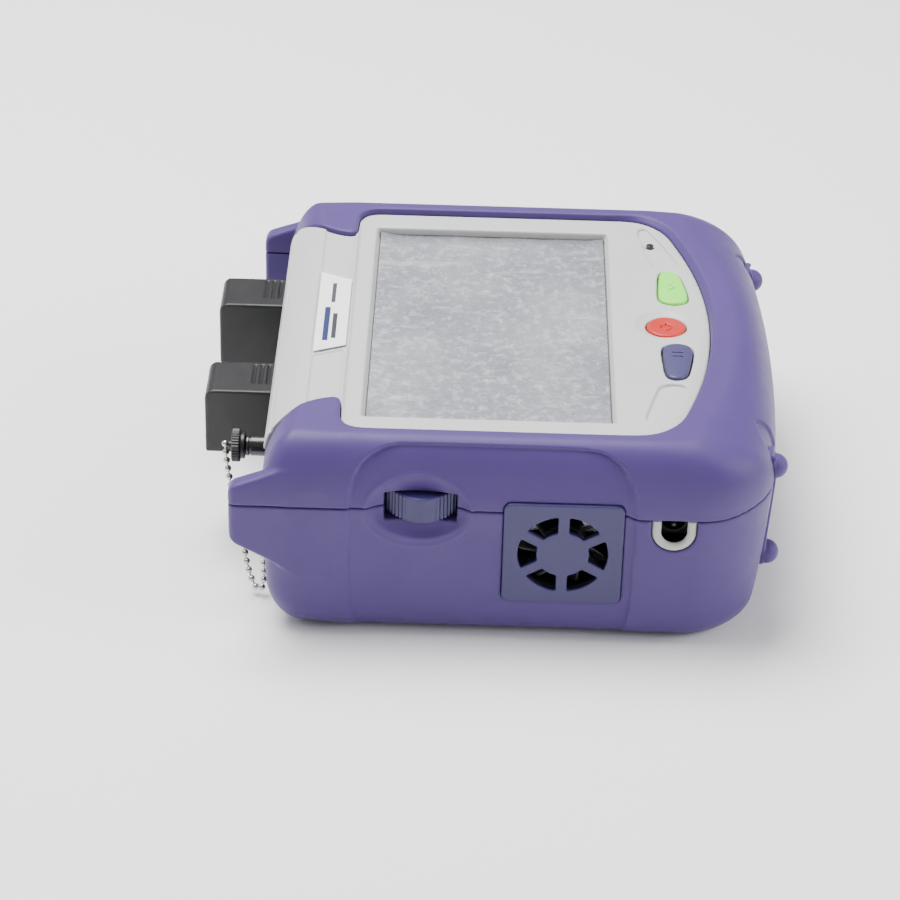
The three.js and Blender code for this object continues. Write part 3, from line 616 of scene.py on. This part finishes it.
def lower_shell(x, y, z):
    form = shell_form(x, y, z)
    cavity = cut(np.maximum(form + WALL, WALL + 0.2 - z), boss(x, y, z))
    wall = meet(outside_cuts(form, x, y, z), z - seam_height(x) + GAP / 2, 0.45)
    wall = cut(wall, meet(jack_outline(x, z, JACK["r"] + 0.2), between(y, -120, -99)), 0.6)
    wall = cut(wall, end_window(x, y, z), 0.6)
    reach = DOOR["half"] + 0.4
    door = brick(x, y, z, (DOOR["x0"] - 0.4, -reach, -5), (DOOR["x1"] + 0.4, reach, 9), 2.0)
    wall = cut(cut(wall, door, 0.4), cavity)
    for sx, sy in CASE_SCREWS:
        wall = cut(wall, meet(np.hypot(x - sx, y - sy) - 3.7, z - 1.6), 0.4)
    return wall


# ---- Meshing ----
CORNERS = [(i, j, k) for i in (0, 1) for j in (0, 1) for k in (0, 1)]
EDGES = [(a, b) for a in range(8) for b in range(a + 1, 8)
         if sum(p != q for p, q in zip(CORNERS[a], CORNERS[b])) == 1]


def surface(values):
    """Points, in grid steps, and quads of the zero surface, with one point in each cell that it crosses."""
    inside = values < 0
    size = [n - 1 for n in values.shape]
    filled = np.zeros(size, np.uint8)
    for i, j, k in CORNERS:
        filled += inside[i:i + size[0], j:j + size[1], k:k + size[2]]
    crossed = (filled > 0) & (filled < 8)
    cells = np.argwhere(crossed)
    number = np.full(size, -1, np.int32)
    number[crossed] = np.arange(len(cells))
    at_corner = [values[tuple((cells + c).T)] for c in CORNERS]
    total = np.zeros((len(cells), 3))
    hits = np.zeros((len(cells), 1))
    for a, b in EDGES:
        crossing = (at_corner[a] < 0) != (at_corner[b] < 0)
        rise = np.where(crossing, at_corner[a] - at_corner[b], 1)
        t = (at_corner[a] / rise)[:, None]
        total += crossing[:, None] * (np.array(CORNERS[a]) + t * np.subtract(CORNERS[b], CORNERS[a]))
        hits += crossing[:, None]
    quads = []
    for axis in range(3):
        u, v = np.eye(3, dtype=int)[[(axis + 1) % 3, (axis + 2) % 3]]
        near = tuple(slice(None, -1) if i == axis else slice(1, -1) for i in range(3))
        far = tuple(slice(1, None) if i == axis else slice(1, -1) for i in range(3))
        at = np.argwhere(inside[near] != inside[far]) + u + v
        ring = np.stack([number[tuple((at - s).T)] for s in (0 * u, u, u + v, v)], 1)
        outward = inside[tuple(at.T)][:, None]
        quads.append(np.where(outward, ring, ring[:, ::-1]))
    return cells + total / hits, np.concatenate(quads)


def new_object(name, points, faces):
    """Mesh object from points in millimetres and faces that all have the same number of corners."""
    mesh = bpy.data.meshes.new(name)
    sides = faces.shape[1]
    mesh.vertices.add(len(points))
    mesh.vertices.foreach_set("co", np.ascontiguousarray(points * MM, dtype=np.float32).ravel())
    mesh.loops.add(faces.size)
    mesh.loops.foreach_set("vertex_index", np.ascontiguousarray(faces, dtype=np.int32).ravel())
    mesh.polygons.add(len(faces))
    mesh.polygons.foreach_set("loop_start", np.arange(0, faces.size, sides, dtype=np.int32))
    mesh.polygons.foreach_set("loop_total", np.full(len(faces), sides, np.int32))
    mesh.update(calc_edges=True)
    mesh.validate()
    mesh.shade_smooth()
    obj = bpy.data.objects.new(name, mesh)
    bpy.context.scene.collection.objects.link(obj)
    return obj


def settle(obj):
    """Applies the object's modifiers to its mesh."""
    shape = obj.evaluated_get(bpy.context.evaluated_depsgraph_get())
    mesh = bpy.data.meshes.new_from_object(shape)
    obj.modifiers.clear()
    obj.data = mesh
    return obj


def dress(obj, finish, slot, body, *nodes):
    obj.data.materials.append(FINISH[finish])
    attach(obj, body)
    if nodes:
        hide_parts(*nodes)
    return obj


def solid(name, low, high, step, field, keep=1.0):
    """Meshes a field between two corners; keep is the share of faces left after thinning the flat parts."""
    step *= COARSE
    low = np.array(low, float) - 2 * step
    counts = [int(math.ceil((b + 2 * step - a) / step)) + 1 for a, b in zip(low, high)]
    axes = [np.float32(a) + np.float32(step) * np.arange(n, dtype=np.float32) for a, n in zip(low, counts)]
    values = np.broadcast_to(field(*np.meshgrid(*axes, indexing="ij", sparse=True)), counts)
    points, quads = surface(np.ascontiguousarray(values, dtype=np.float32))
    obj = new_object(name, points * step + low, quads)
    if keep < 1:
        thin = obj.modifiers.new("thin", "DECIMATE")
        thin.ratio = keep
        settle(obj)
        obj.data.shade_smooth()
    return obj


# ---- Front panel, screen and keys ----
HOOD_ARC = [(-70 - 16.2 * math.sin(math.radians(a)), 71 + (HOOD_TOP - 71) * math.cos(math.radians(a)))
            for a in range(0, 86, 5)]
HOOD_INSIDE = [(-70 - 13.8 * math.sin(math.radians(a)), 71 + (HOOD_TOP - 73.4) * math.cos(math.radians(a)))
               for a in range(85, -1, -5)]
PANEL_PROFILE = [(95, PANEL_Z - PANEL_T), (95, PANEL_Z), (-56.2, PANEL_Z), (-56.7, 84.4), (-57.5, HOOD_TOP)] \
    + HOOD_ARC + [(LIP_X, 73), (LIP_X, LIP_Z), (LIP_X + 2.4, LIP_Z)] + HOOD_INSIDE \
    + [(-58, HOOD_TOP - 2.6), (-56, PANEL_Z - PANEL_T)]
GREEN_OUTLINE = softened([
    (77.8, 22.2), (76.9, 30), (75.4, 39), (74.2, 42.6), (72, 44.2), (69.5, 44.4), (67.4, 43.2), (66.5, 39),
    (66.1, 30), (65.8, 22.2), (67, 18.4), (71.8, 16.6), (76.6, 18.4),
])
BLUE_SHIFT = 1.4
FAR_BAND = softened([
    (59, 79), (60.2, 83), (62.8, 82.8), (65.5, 77), (70, 66), (75, 53), (74.6, 46.4), (66, 46.4),
    (63.5, 53), (61.5, 63), (60, 72),
], 2)
NEAR_BAND = softened([
    (64.4, -46.4), (74.6, -46.4), (73.5, -53), (70, -61.5), (66.6, -69), (63, -75.5), (58, -75.5),
    (57.8, -71), (59.5, -64), (62, -54),
], 2)
HOOD_PADS = [[(-70.6, s * 34.4), (-58.2, s * 29), (-58.2, s * 80), (-70.6, s * 80)] for s in (-1, 1)]
LIP_GROOVE = (-84.0, 78.3)


def key_outline(x, y, side):
    return polygon(x, side * y if side > 0 else BLUE_SHIFT - y, GREEN_OUTLINE)


def front_panel(x, y, z):
    form = meet(polygon(x, z, PANEL_PROFILE), polygon(x, y, PANEL_OUTLINE), 0.7)
    for outline, depth, top in ((FAR_BAND, 1.4, PANEL_Z), (NEAR_BAND, 1.4, PANEL_Z),
                                (HOOD_PADS[0], 0.9, HOOD_TOP), (HOOD_PADS[1], 0.9, HOOD_TOP)):
        form = cut(form, meet(polygon(x, y, outline), top - depth - z, 0.2), 0.2)
    form = cut(form, np.hypot(x - LIP_GROOVE[0], z - LIP_GROOVE[1]) - 0.55, 0.25)
    form = cut(form, meet(polygon(x, y, LABEL) - 0.45, HOOD_TOP - 0.7 - z), 0.1)
    middle = (SCREEN["x0"] + SCREEN["x1"]) / 2
    across = np.abs(x - middle) - (SCREEN["x1"] - SCREEN["x0"]) / 2
    window = meet(across, np.abs(y) - SCREEN["half"], 1.0)
    form = fuse(form, meet(window - 2, between(z, SCREEN["glass"] + GAP, PANEL_Z - 1)), 0.3)
    sloped = meet(across - 0.45 * np.maximum(z - SCREEN["glass"], 0), np.abs(y) - SCREEN["half"], 1.0)
    form = cut(form, sloped, 0.25)
    form = cut(form, ball(x, y, z, (POWER["x"] - 1.0, 0.4, PANEL_Z + 1.0), (11.9, 11.6, 3.2)), 0.2)
    form = cut(form, np.hypot(x - POWER["x"], y) - POWER["r"] - 0.4, 0.35)
    form = cut(form, np.hypot(x - LAMP[0], y - LAMP[1]) - 1.6, 0.15)
    for side in (1, -1):
        form = cut(form, key_outline(x, y, side) - 0.65, 0.25)
    return form


def chevron(x, y, cx, cy, size):
    arm = size / 2
    first = stroke(x, y, (cx - arm, cy - size), (cx + arm, cy), 0.32)
    return np.minimum(first, stroke(x, y, (cx + arm, cy), (cx - arm, cy + size), 0.32))


def long_key(side):
    def field(x, y, z):
        outline = key_outline(x, y, side)
        crown = 85.1 - 0.5 * (np.maximum(0, outline + 6) / 6) ** 2
        form = meet(outline, between(z, 79.4, crown), 0.8)
        form = fuse(form, meet(outline - 1.2, between(z, 79.4, 80.9), 0.3), 0.3)
        if side > 0:
            mark = chevron(x, y, 71.4, 29.5, 2.4)
        else:
            mark = np.minimum(stroke(x, y, (69.6, -26.5), (73.6, -26.5), 0.32),
                              stroke(x, y, (69.6, -23.5), (73.6, -23.5), 0.32))
        return cut(form, meet(mark, 83.9 - z, 0.1), 0.1)
    return field


def power_key(x, y, z):
    reach = np.hypot(x - POWER["x"], y)
    form = meet(reach - POWER["r"], between(z, 79.4, POWER["top"]), 1.0)
    form = fuse(form, meet(reach - POWER["r"] - 1.2, between(z, 79.4, 80.6), 0.3), 0.2)
    form = cut(form, ball(x, y, z, (POWER["x"], 0, POWER["top"] + 17.3), (18, 18, 18)), 0.6)
    ring = np.abs(reach - 2.1) - 0.35
    ring = cut(ring, stroke(x, y, (POWER["x"], 0.6), (POWER["x"], 4), 0.9))
    mark = np.minimum(ring, stroke(x, y, (POWER["x"], 0.8), (POWER["x"], 2.9), 0.35))
    return cut(form, meet(mark, POWER["top"] - 1.3 - z, 0.1), 0.1)


def status_lens(x, y, z):
    reach = np.hypot(x - LAMP[0], y - LAMP[1])
    return meet(reach - 1.5, between(z, 79, 83.9), 0.2)


LABEL = [(-70.6, -32.6), (-57.9, -26.8), (-57.9, 26.6), (-70.6, 32.4)]


def label_plate(x, y, z):
    return meet(polygon(x, y, LABEL), between(z, HOOD_TOP + 0.12, HOOD_TOP + 0.6), 0.2)


def hash_noise(x, y, seed):
    """Smooth repeatable noise from 0 to 1 on a unit lattice."""
    def lattice(i, j):
        value = np.sin(i * 127.1 + j * 311.7 + seed * 74.7) * 43758.5453
        return value - np.floor(value)
    i, j = np.floor(x), np.floor(y)
    u, v = x - i, y - j
    u, v = u * u * (3 - 2 * u), v * v * (3 - 2 * v)
    near = lattice(i, j) * (1 - u) + lattice(i + 1, j) * u
    far = lattice(i, j + 1) * (1 - u) + lattice(i + 1, j + 1) * u
    return near * (1 - v) + far * v


def screen_film():
    """Thin loose film: small crinkles, and corners that have come up off the glass."""
    step = 0.6 * COARSE
    x0, x1, half = SCREEN["x0"] + 0.1, SCREEN["x1"] - 0.1, SCREEN["half"] - 0.1
    nx, ny = int((x1 - x0) / step) + 1, int(2 * half / step) + 1
    x, y = np.meshgrid(np.linspace(x0, x1, nx), np.linspace(-half, half, ny), indexing="ij")
    crinkle = sum(a * (hash_noise(x / s, y / s, k) - 0.5)
                  for k, (s, a) in enumerate(((14, 0.26), (6, 0.16), (2.6, 0.09), (1.3, 0.05))))
    edge = np.minimum(np.minimum(x - x0, x1 - x), half - np.abs(y))
    lift = np.zeros_like(x)
    for cx, cy, height in ((x0, half, 1.3), (x1, half, 0.8), (x1, -half, 1.2), (x0, -half, 0.5)):
        lift += height * np.exp(-((x - cx) ** 2 + (y - cy) ** 2) / 20)
    lift += 0.35 * np.exp(-edge / 1.2) * hash_noise(x / 9, y / 9, 11)
    z = SCREEN["glass"] + 0.42 + crinkle * np.clip(edge / 2, 0.3, 1) + lift
    number = np.arange(nx * ny).reshape(nx, ny)
    faces = np.stack([number[:-1, :-1], number[1:, :-1], number[1:, 1:], number[:-1, 1:]], -1).reshape(-1, 4)
    obj = new_object("film", np.stack([x, y, z], -1).reshape(-1, 3), faces)
    thick = obj.modifiers.new("thick", "SOLIDIFY")
    thick.thickness = 0.12 * MM
    thick.offset = 1
    settle(obj)
    obj.data.shade_smooth()
    return obj


# ---- Wheel, fan and jack ----
def thumb_wheel(x, y, z):
    """Wheel with four broad smooth lobes and fine ribs in the valleys between them."""
    u, v = x - WHEEL["x"], y - WHEEL["y"]
    angle = np.arctan2(v, u) + math.pi / 2
    lobe = np.cos(4 * angle)
    ribs = 0.4 * np.cos(56 * angle) * np.clip(0.3 - lobe, 0, 1)
    reach = np.hypot(u, v) - (WHEEL["r"] - 0.9 + 0.6 * lobe + ribs)
    form = meet(reach, between(z, WHEEL["z0"], WHEEL["z1"]), 0.35)
    return cut(form, np.hypot(u, v) - 2.06, 0.2)


def fan_grille(x, y, z):
    u, v, w = fan_local(x, y, z)
    plate = meet(meet(np.abs(u) - FAN["plate"] / 2, np.abs(w) - FAN["plate"] / 2, FAN["corner"]),
                 between(v, 0, FAN["t"]), 0.45)
    reach = np.hypot(u, w)
    angle = np.arctan2(w, u)
    turned = (angle + math.pi / 6) % (math.pi / 3) - math.pi / 6
    spoke = FAN["spoke"] / 2 - reach * np.sin(math.pi / 6 - np.abs(turned))
    hole = meet(meet(reach - FAN["out"], FAN["in"] - reach, 0.5), spoke, 0.6)
    return cut(plate, hole, 0.35)


def fan_frame(x, y, z):
    half = 20.0
    low, high = (FAN["x"] - half, -98.4, FAN["z"] - half), (FAN["x"] + half, -88.4, FAN["z"] + half)
    body = brick(x, y, z, low, high, 1.5)
    reach = np.hypot(x - FAN["x"], z - FAN["z"])
    form = cut(body, reach - 18.6, 0.6)
    hub = meet(reach - 8.5, between(y, -90.2, -88.4), 0.4)
    u, w = (x - FAN["x"]) * math.sqrt(0.5), (z - FAN["z"]) * math.sqrt(0.5)
    struts = np.minimum(np.abs(u + w), np.abs(u - w)) - 1.2
    arms = meet(meet(struts, reach - 19), between(y, -90.1, -88.5), 0.3)
    return np.minimum(form, np.minimum(hub, arms))


def fan_rotor(x, y, z):
    u, w = x - FAN["x"], z - FAN["z"]
    reach = np.hypot(u, w)
    hub = meet(reach - 8.6, between(y, -97.6, -90.6), 1.0)
    angle = np.arctan2(w, u) + 0.055 * (y + 94.1)
    spacing = 2 * math.pi / 7
    offset = ((angle + 0.03 * reach + spacing / 2) % spacing - spacing / 2) * reach
    blade = meet(np.abs(offset) * 0.75 - 0.5, between(y, -97.4, -91.0), 0.3)
    return fuse(hub, meet(blade, reach - 17.6, 0.4), 0.6)


def jack_bezel(x, y, z):
    ring = cut(jack_outline(x, z, JACK["r"]), jack_outline(x, z, JACK["hole"]))
    form = meet(ring, between(y, -104.3, -102.1), 1.5)
    return meet(form, z - seam_height(x) + 0.4)


def dc_jack(x, y, z):
    low, high = (JACK["x"] - 7, -96.6, JACK["z"] - 5.5), (JACK["x"] + 7, -82, JACK["z"] + 8)
    reach = np.hypot(x - JACK["x"], z - JACK["z"] - 1.2)
    form = cut(brick(x, y, z, low, high, 0.6), meet(reach - 4.6, y + 89), 0.4)
    return fuse(form, meet(reach - 1, between(y, -100.5, -87.9), 0.5), 0.1)


# ---- Connector end ----
def port_cover(cy):
    def field(x, y, z):
        half = COVER["width"] / 2
        low, high = (COVER["tip"], cy - half, COVER["z0"]), (COVER["x0"] + 4, cy + half, COVER["z1"])
        form = brick(x, y, z, low, high, 1.0)
        nose = np.hypot(np.minimum(x - COVER["tip"] - 4, 0), np.maximum(z - COVER["z1"] + 4, 0)) - 4
        form = meet(form, nose)
        form = meet(form, x - COVER["x0"], 0.6)
        form = meet(form, (x - COVER["x0"] + 2) * 0.7 + (COVER["z0"] - z) * 0.7, 0.6)
        wall = COVER["wall"]
        hollow = brick(x, y, z, (COVER["tip"] + wall, cy - half + wall, COVER["z0"] + wall),
                       (-70, cy + half - wall, COVER["z1"] - wall), 1.0)
        form = cut(form, hollow, 0.3)
        for gx in (-88.4, -91.2, -94.0):
            low, high = (gx - 0.55, cy - 5, COVER["z1"] - 0.7), (gx + 0.55, cy + half - 2, 80)
            groove = brick(x, y, z, low, high, 0.4)
            form = cut(form, groove, 0.3)
        pin = np.hypot(x - COVER_PIN[0], z - COVER_PIN[1]) - 1.15
        return cut(form, pin, 0.2)
    return field


def optical_adapter(cy):
    def field(x, y, z):
        body = brick(x, y, z, (-95.5, cy - 6.5, ADAPTER_Z - 5.7), (-78, cy + 6.5, ADAPTER_Z + 5.7), 0.5)
        socket = brick(x, y, z, (-99, cy - 4.7, ADAPTER_Z - 3.9), (-86.5, cy + 4.7, ADAPTER_Z + 3.9), 0.3)
        sleeve = meet(np.hypot(y - cy, z - ADAPTER_Z) - 1.6, between(x, -93.5, -86))
        sleeve = cut(sleeve, np.hypot(y - cy, z - ADAPTER_Z) - 0.9)
        return np.minimum(cut(body, socket, 0.3), sleeve)
    return field


def connector_panel(x, y, z):
    face = END_PANEL["x"]
    half = END_PANEL["half"]
    form = brick(x, y, z, (face, -half, END_PANEL["z0"]), (face + END_PANEL["t"], half, END_PANEL["z1"]), 0.7)
    for cy in COVER_Y.values():
        for side in (-1, 1):
            edges = sorted((cy + side * (COVER["width"] / 2 + 0.5), cy + side * (COVER["width"] / 2 + 2.5)))
            low, high = (face - 5.4, edges[0], COVER_PIN[1] - 2), (face + 1, edges[1], COVER_PIN[1] + 2)
            lug = brick(x, y, z, low, high, 0.5)
            form = fuse(form, lug, 0.5)
        form = cut(form, meet(np.abs(y - cy) - 6.8, np.abs(z - ADAPTER_Z) - 6, 0.6), 0.3)
    return cut(form, np.hypot(x - COVER_PIN[0], z - COVER_PIN[1]) - 1.1, 0.1)


def round_port(x, y, z):
    reach = np.hypot(y - PORT_Y, z - PORT_Z)
    form = meet(reach - 4.0, between(x, -94.2, -86), 0.4)
    form = cut(form, meet(np.abs(reach - 4.0) - 0.3, np.abs(x + 92.6) - 0.35), 0.1)
    form = fuse(form, meet(reach - 6.6, between(x, -86.4, -84.8), 0.4), 0.2)
    return cut(form, meet(reach - 2.1, x + 87), 0.2)


def dust_cap(x, y, z):
    reach = np.hypot(y - PORT_Y, z - PORT_Z)
    angle = np.arctan2(z - PORT_Z, y - PORT_Y)
    flange = meet(reach - 6.3 + 0.16 * np.cos(36 * angle), between(x, -99.6, -96.3), 0.5)
    hub = meet(reach - 5.2, between(x, -97, -94.5), 0.4)
    nub = meet(reach - 1.7, between(x, -101.0, -99), 0.5)
    form = fuse(fuse(flange, hub, 0.3), nub, 0.3)
    form = cut(form, meet(np.abs(reach - 4.2) - 0.4, x + 99.2, 0.2), 0.2)
    stem = meet(reach - 1.7, between(x, -96, -89.1), 0.4)
    return fuse(form, stem, 0.2)


def anchor(x, y, z):
    reach = np.hypot(y - ANCHOR["y"], z - ANCHOR["z"])
    form = meet(reach - ANCHOR["r"], between(x, ANCHOR["tip"], END_PANEL["x"] - 0.1), 0.7)
    slot = meet(np.abs(z - ANCHOR["z"]) - 0.35, x - ANCHOR["tip"] - 0.7)
    return cut(form, slot, 0.1)


def route_points(count):
    """Points evenly spaced along the smooth curve through the chain's route, in millimetres."""
    p = np.array(CHAIN_ROUTE, float)
    p = np.vstack([2 * p[0] - p[1], p, 2 * p[-1] - p[-2]])
    t = np.linspace(0, 1, 40, endpoint=False)[:, None]
    fine = [
        0.5 * (2 * b + (c - a) * t + (2 * a - 5 * b + 4 * c - d) * t ** 2 + (3 * b - a - 3 * c + d) * t ** 3)
        for a, b, c, d in zip(p, p[1:], p[2:], p[3:])
    ]
    fine = np.vstack(fine + [p[-2:-1]])
    along = np.concatenate([[0], np.cumsum(np.linalg.norm(np.diff(fine, axis=0), axis=1))])
    at = np.linspace(0, along[-1], count)
    return np.stack([np.interp(at, along, fine[:, i]) for i in range(3)], 1), along[-1]


def lathe_between(start, end, profile, sides):
    """Points and quads of a turned shape laid from start to end; profile holds (fraction along, radius)."""
    axis = (end - start) / np.linalg.norm(end - start)
    across = np.cross(axis, (0.3, 1, 0.2))
    across /= np.linalg.norm(across)
    other = np.cross(axis, across)
    turn = 2 * math.pi * np.arange(sides) / sides
    ring = np.cos(turn)[:, None] * across + np.sin(turn)[:, None] * other
    points = np.vstack([start + (end - start) * f + ring * r for f, r in profile])
    index = np.arange(len(points)).reshape(len(profile), sides)
    after = np.roll(index, -1, axis=1)
    quads = np.stack([index[:-1], after[:-1], after[1:], index[1:]], -1).reshape(-1, 4)
    return points, quads


def ball_chain():
    """Hollow beads on short links, from the dust cap round the loop to the anchor."""
    _, length = route_points(2)
    beads = round(length / BEAD_PITCH) + 1
    centres, _ = route_points(beads)
    sphere = [(0.5 - 0.5 * math.cos(a), max(0.02, BEAD_R * math.sin(a)))
              for a in np.linspace(0.0, math.pi, 11)]
    points, quads, count = [], [], 0
    ahead = np.vstack([centres[1:], 2 * centres[-1:] - centres[-2:-1]])
    for here, there in zip(centres, ahead):
        way = (there - here) / np.linalg.norm(there - here)
        parts = [lathe_between(here - way * BEAD_R, here + way * BEAD_R, sphere, 16)]
        if len(points) < 2 * beads - 2:
            parts.append(lathe_between(here, there, [(0.2, 0.4), (0.8, 0.4)], 8))
        for p, q in parts:
            points.append(p)
            quads.append(q + count)
            count += len(p)
    return new_object("ball_chain", np.vstack(points), np.vstack(quads)), length


# ---- Feet, bottom and screws ----
def foot_strip(side):
    def field(x, y, z):
        case = case_form(x, y, z)
        across = np.abs(y - side * FOOT_Y)
        form = meet(meet(across - FOOT_HALF, between(z, FOOT_Z0, FOOT_Z1), 2.0), case - 2.0, 0.5)
        for dx, dz in DOMES:
            form = fuse(form, ball(x, y, z, (dx, side * FOOT_Y, dz), (DOME_R,) * 3), 0.6)
        return cut(form, case - 0.1)
    return field


def battery_door(x, y, z):
    low = (DOOR["x0"], -DOOR["half"], DOOR["z0"])
    form = brick(x, y, z, low, (DOOR["x1"], DOOR["half"], DOOR["z1"]), 0.5)
    form = meet(form, meet(between(x, DOOR["x0"], DOOR["x1"]), np.abs(y) - DOOR["half"], 2.0))
    for k in range(5):
        rib = stroke(x, y, (-12.0 + 3 * k, -11), (-12.0 + 3 * k, 11), 0.7)
        form = cut(form, meet(rib, z - DOOR["z0"] - 0.5, 0.2), 0.2)
    for sx, sy in DOOR_SCREWS:
        form = cut(form, np.hypot(x - sx, y - sy) - 2.9, 0.3)
    return form


def screw(sx, sy, head, z0, thickness, shank, top):
    def field(x, y, z):
        reach = np.hypot(x - sx, y - sy)
        form = meet(reach - head, between(z, z0, z0 + thickness), 0.5)
        form = fuse(form, meet(reach - shank, between(z, z0, top), 0.3), 0.2)
        across, along = np.abs(x - sx), np.abs(y - sy)
        cross = np.minimum(meet(across - 0.42, along - 1.7), meet(along - 0.42, across - 1.7))
        return cut(form, meet(cross, z - z0 - 0.7), 0.1)
    return field


# ---- Assembly ----
add_camera()
add_surroundings()

chain, chain_length = ball_chain()
chain.data.materials.append(FINISH["nickel"])
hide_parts("cap_chain")
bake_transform(chain)

PIECES = [
    # name, low, high, step, field, keep, finish, slot, body, node
    ("violet_upper_shell", (-99, -105.5, 57.5), (112, 105.5, 87), 0.62, upper_shell, 0.5, "shell", "shell",
     "case", "upper_shell"),
    ("violet_lower_shell", (-99, -105.5, 0), (112, 105.5, 63), 0.62, lower_shell, 0.4, "shell", "shell",
     "case", "lower_shell"),
    ("grey_front_panel", (-87, -90, 70), (86, 90, 86), 0.5, front_panel, 0.4, "panel", "panel", "case",
     "front_panel"),
    ("green_key", (63, 14, 79), (80, 46, 86), 0.3, long_key(1), 1, "green", "key_green", "key_green",
     "key_green"),
    ("blue_key", (63, -46, 79), (80, -14, 86), 0.3, long_key(-1), 1, "blue", "key_blue", "key_blue",
     "key_blue"),
    ("red_key", (58, -10, 79), (79, 10, 84), 0.3, power_key, 1, "red", "key_red", "key_power", "key_power"),
    ("lamp_lens", (62, 66, 79), (66, 70, 84), 0.15, status_lens, 1, "lens", "lens", "case", "status_lens"),
    ("plain_label", (-71, -33, 85), (-58, 33, 86.2), 0.25, label_plate, 0.3, "label", "label", "case",
     "label_plate"),
    ("wheel", (-43, -106, 54), (-9, -71, 65), 0.35, thumb_wheel, 0.8, "plum", "plum_plastic", "thumb_wheel",
     "thumb_wheel"),
    ("fan_cover", (5, -106, 19), (51, -100, 65), 0.35, fan_grille, 0.5, "plum", "plum_plastic", "case",
     "fan_grille"),
    ("fan_housing", (8, -98.5, 22), (48, -88, 62), 0.4, fan_frame, 0.5, "black", "black_plastic", "case",
     "fan_frame"),
    ("fan_wheel", (10, -98, 24), (46, -90, 60), 0.35, fan_rotor, 0.7, "black", "black_plastic", "fan_rotor",
     "fan_rotor"),
    ("jack_ring", (60, -105, 45), (79, -102, 60), 0.3, jack_bezel, 1, "bezel", "bezel_grey", "case",
     "dc_jack_bezel"),
    ("jack_socket", (62, -101, 48), (77, -82, 62), 0.4, dc_jack, 1, "black", "black_plastic", "case",
     "dc_jack"),
    ("end_panel", (-90, -78, 20), (-82, 78, 71), 0.5, connector_panel, 0.4, "black", "black_plastic", "case",
     "connector_panel"),
    ("round_barrel", (-94.5, -72, 55), (-84.5, -58, 69), 0.18, round_port, 0.6, "port", "port_black", "case",
     "round_port"),
    ("knurled_cap", (-101.2, -72, 55), (-89, -58, 69), 0.2, dust_cap, 0.8, "cap", "cap_black", "dust_cap",
     "dust_cap"),
    ("chain_stud", (-87, -78, 30), (-84.4, -71, 36), 0.15, anchor, 1, "nickel", "steel", "case",
     "chain_anchor"),
    ("bottom_door", (-20.5, -42.5, 0), (84.5, 42.5, 3), 0.5, battery_door, 0.3, "shell", "shell", "case",
     "battery_door"),
]
for name, cy in COVER_Y.items():
    half = COVER["width"] / 2
    low, high = (COVER["tip"], cy - half, COVER["z0"]), (COVER["x0"], cy + half, COVER["z1"])
    PIECES.append((f"cover_{name}_block", low, high, 0.4, port_cover(cy), 0.6, "cover",
                   "cover_black", f"cover_{name}", f"port_cover_{name}"))
    PIECES.append((f"adapter_{name}", (-96, cy - 7, ADAPTER_Z - 6), (-78, cy + 7, ADAPTER_Z + 6), 0.3,
                   optical_adapter(cy), 0.6, "adapter", "adapter_green", "case", f"optical_adapter_{name}"))
for name, side in (("near", -1), ("far", 1)):
    low, high = sorted((side * (FOOT_Y - 5), side * (FOOT_Y + 5)))
    PIECES.append((f"foot_{name}", (95, low, 21), (112.7, high, 73), 0.35, foot_strip(side), 0.7, "shell",
                   "shell", "case", f"foot_strip_{name}"))
for k, (sx, sy) in enumerate(CASE_SCREWS, 1):
    PIECES.append((f"case_screw_head_{k}", (sx - 3.5, sy - 3.5, 0.2), (sx + 3.5, sy + 3.5, 8), 0.25,
                   screw(sx, sy, 3.3, 0.3, 1.1, 1.6, 8), 0.7, "steel", "steel", "case", f"case_screw_{k}"))
for k, (sx, sy) in enumerate(DOOR_SCREWS, 1):
    PIECES.append((f"door_screw_head_{k}", (sx - 3, sy - 3, 0.2), (sx + 3, sy + 3, 9), 0.25,
                   screw(sx, sy, 2.6, 0.3, 1.0, 1.4, 9), 0.7, "steel", "steel", "case", f"door_screw_{k}"))

for name, low, high, step, field, keep, finish, slot, body, node in PIECES:
    dress(solid(name, low, high, step, field, keep), finish, slot, body, node)

dress(screen_film(), "film", "film", "case", "screen_film")

CARRIED = {
    "screen_glass": "glass", "lcd_module": "steel", "keypad_board": "circuit", "wheel_shaft": "steel",
    "shield_can": "tin", "main_board": "circuit", "optical_module": "tin", "battery_pack": "wrap",
    "cover_pin_near": "steel", "cover_pin_far": "steel",
}
for node, finish in CARRIED.items():
    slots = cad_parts[node].data.materials
    slots.clear()
    slots.append(FINISH[finish])
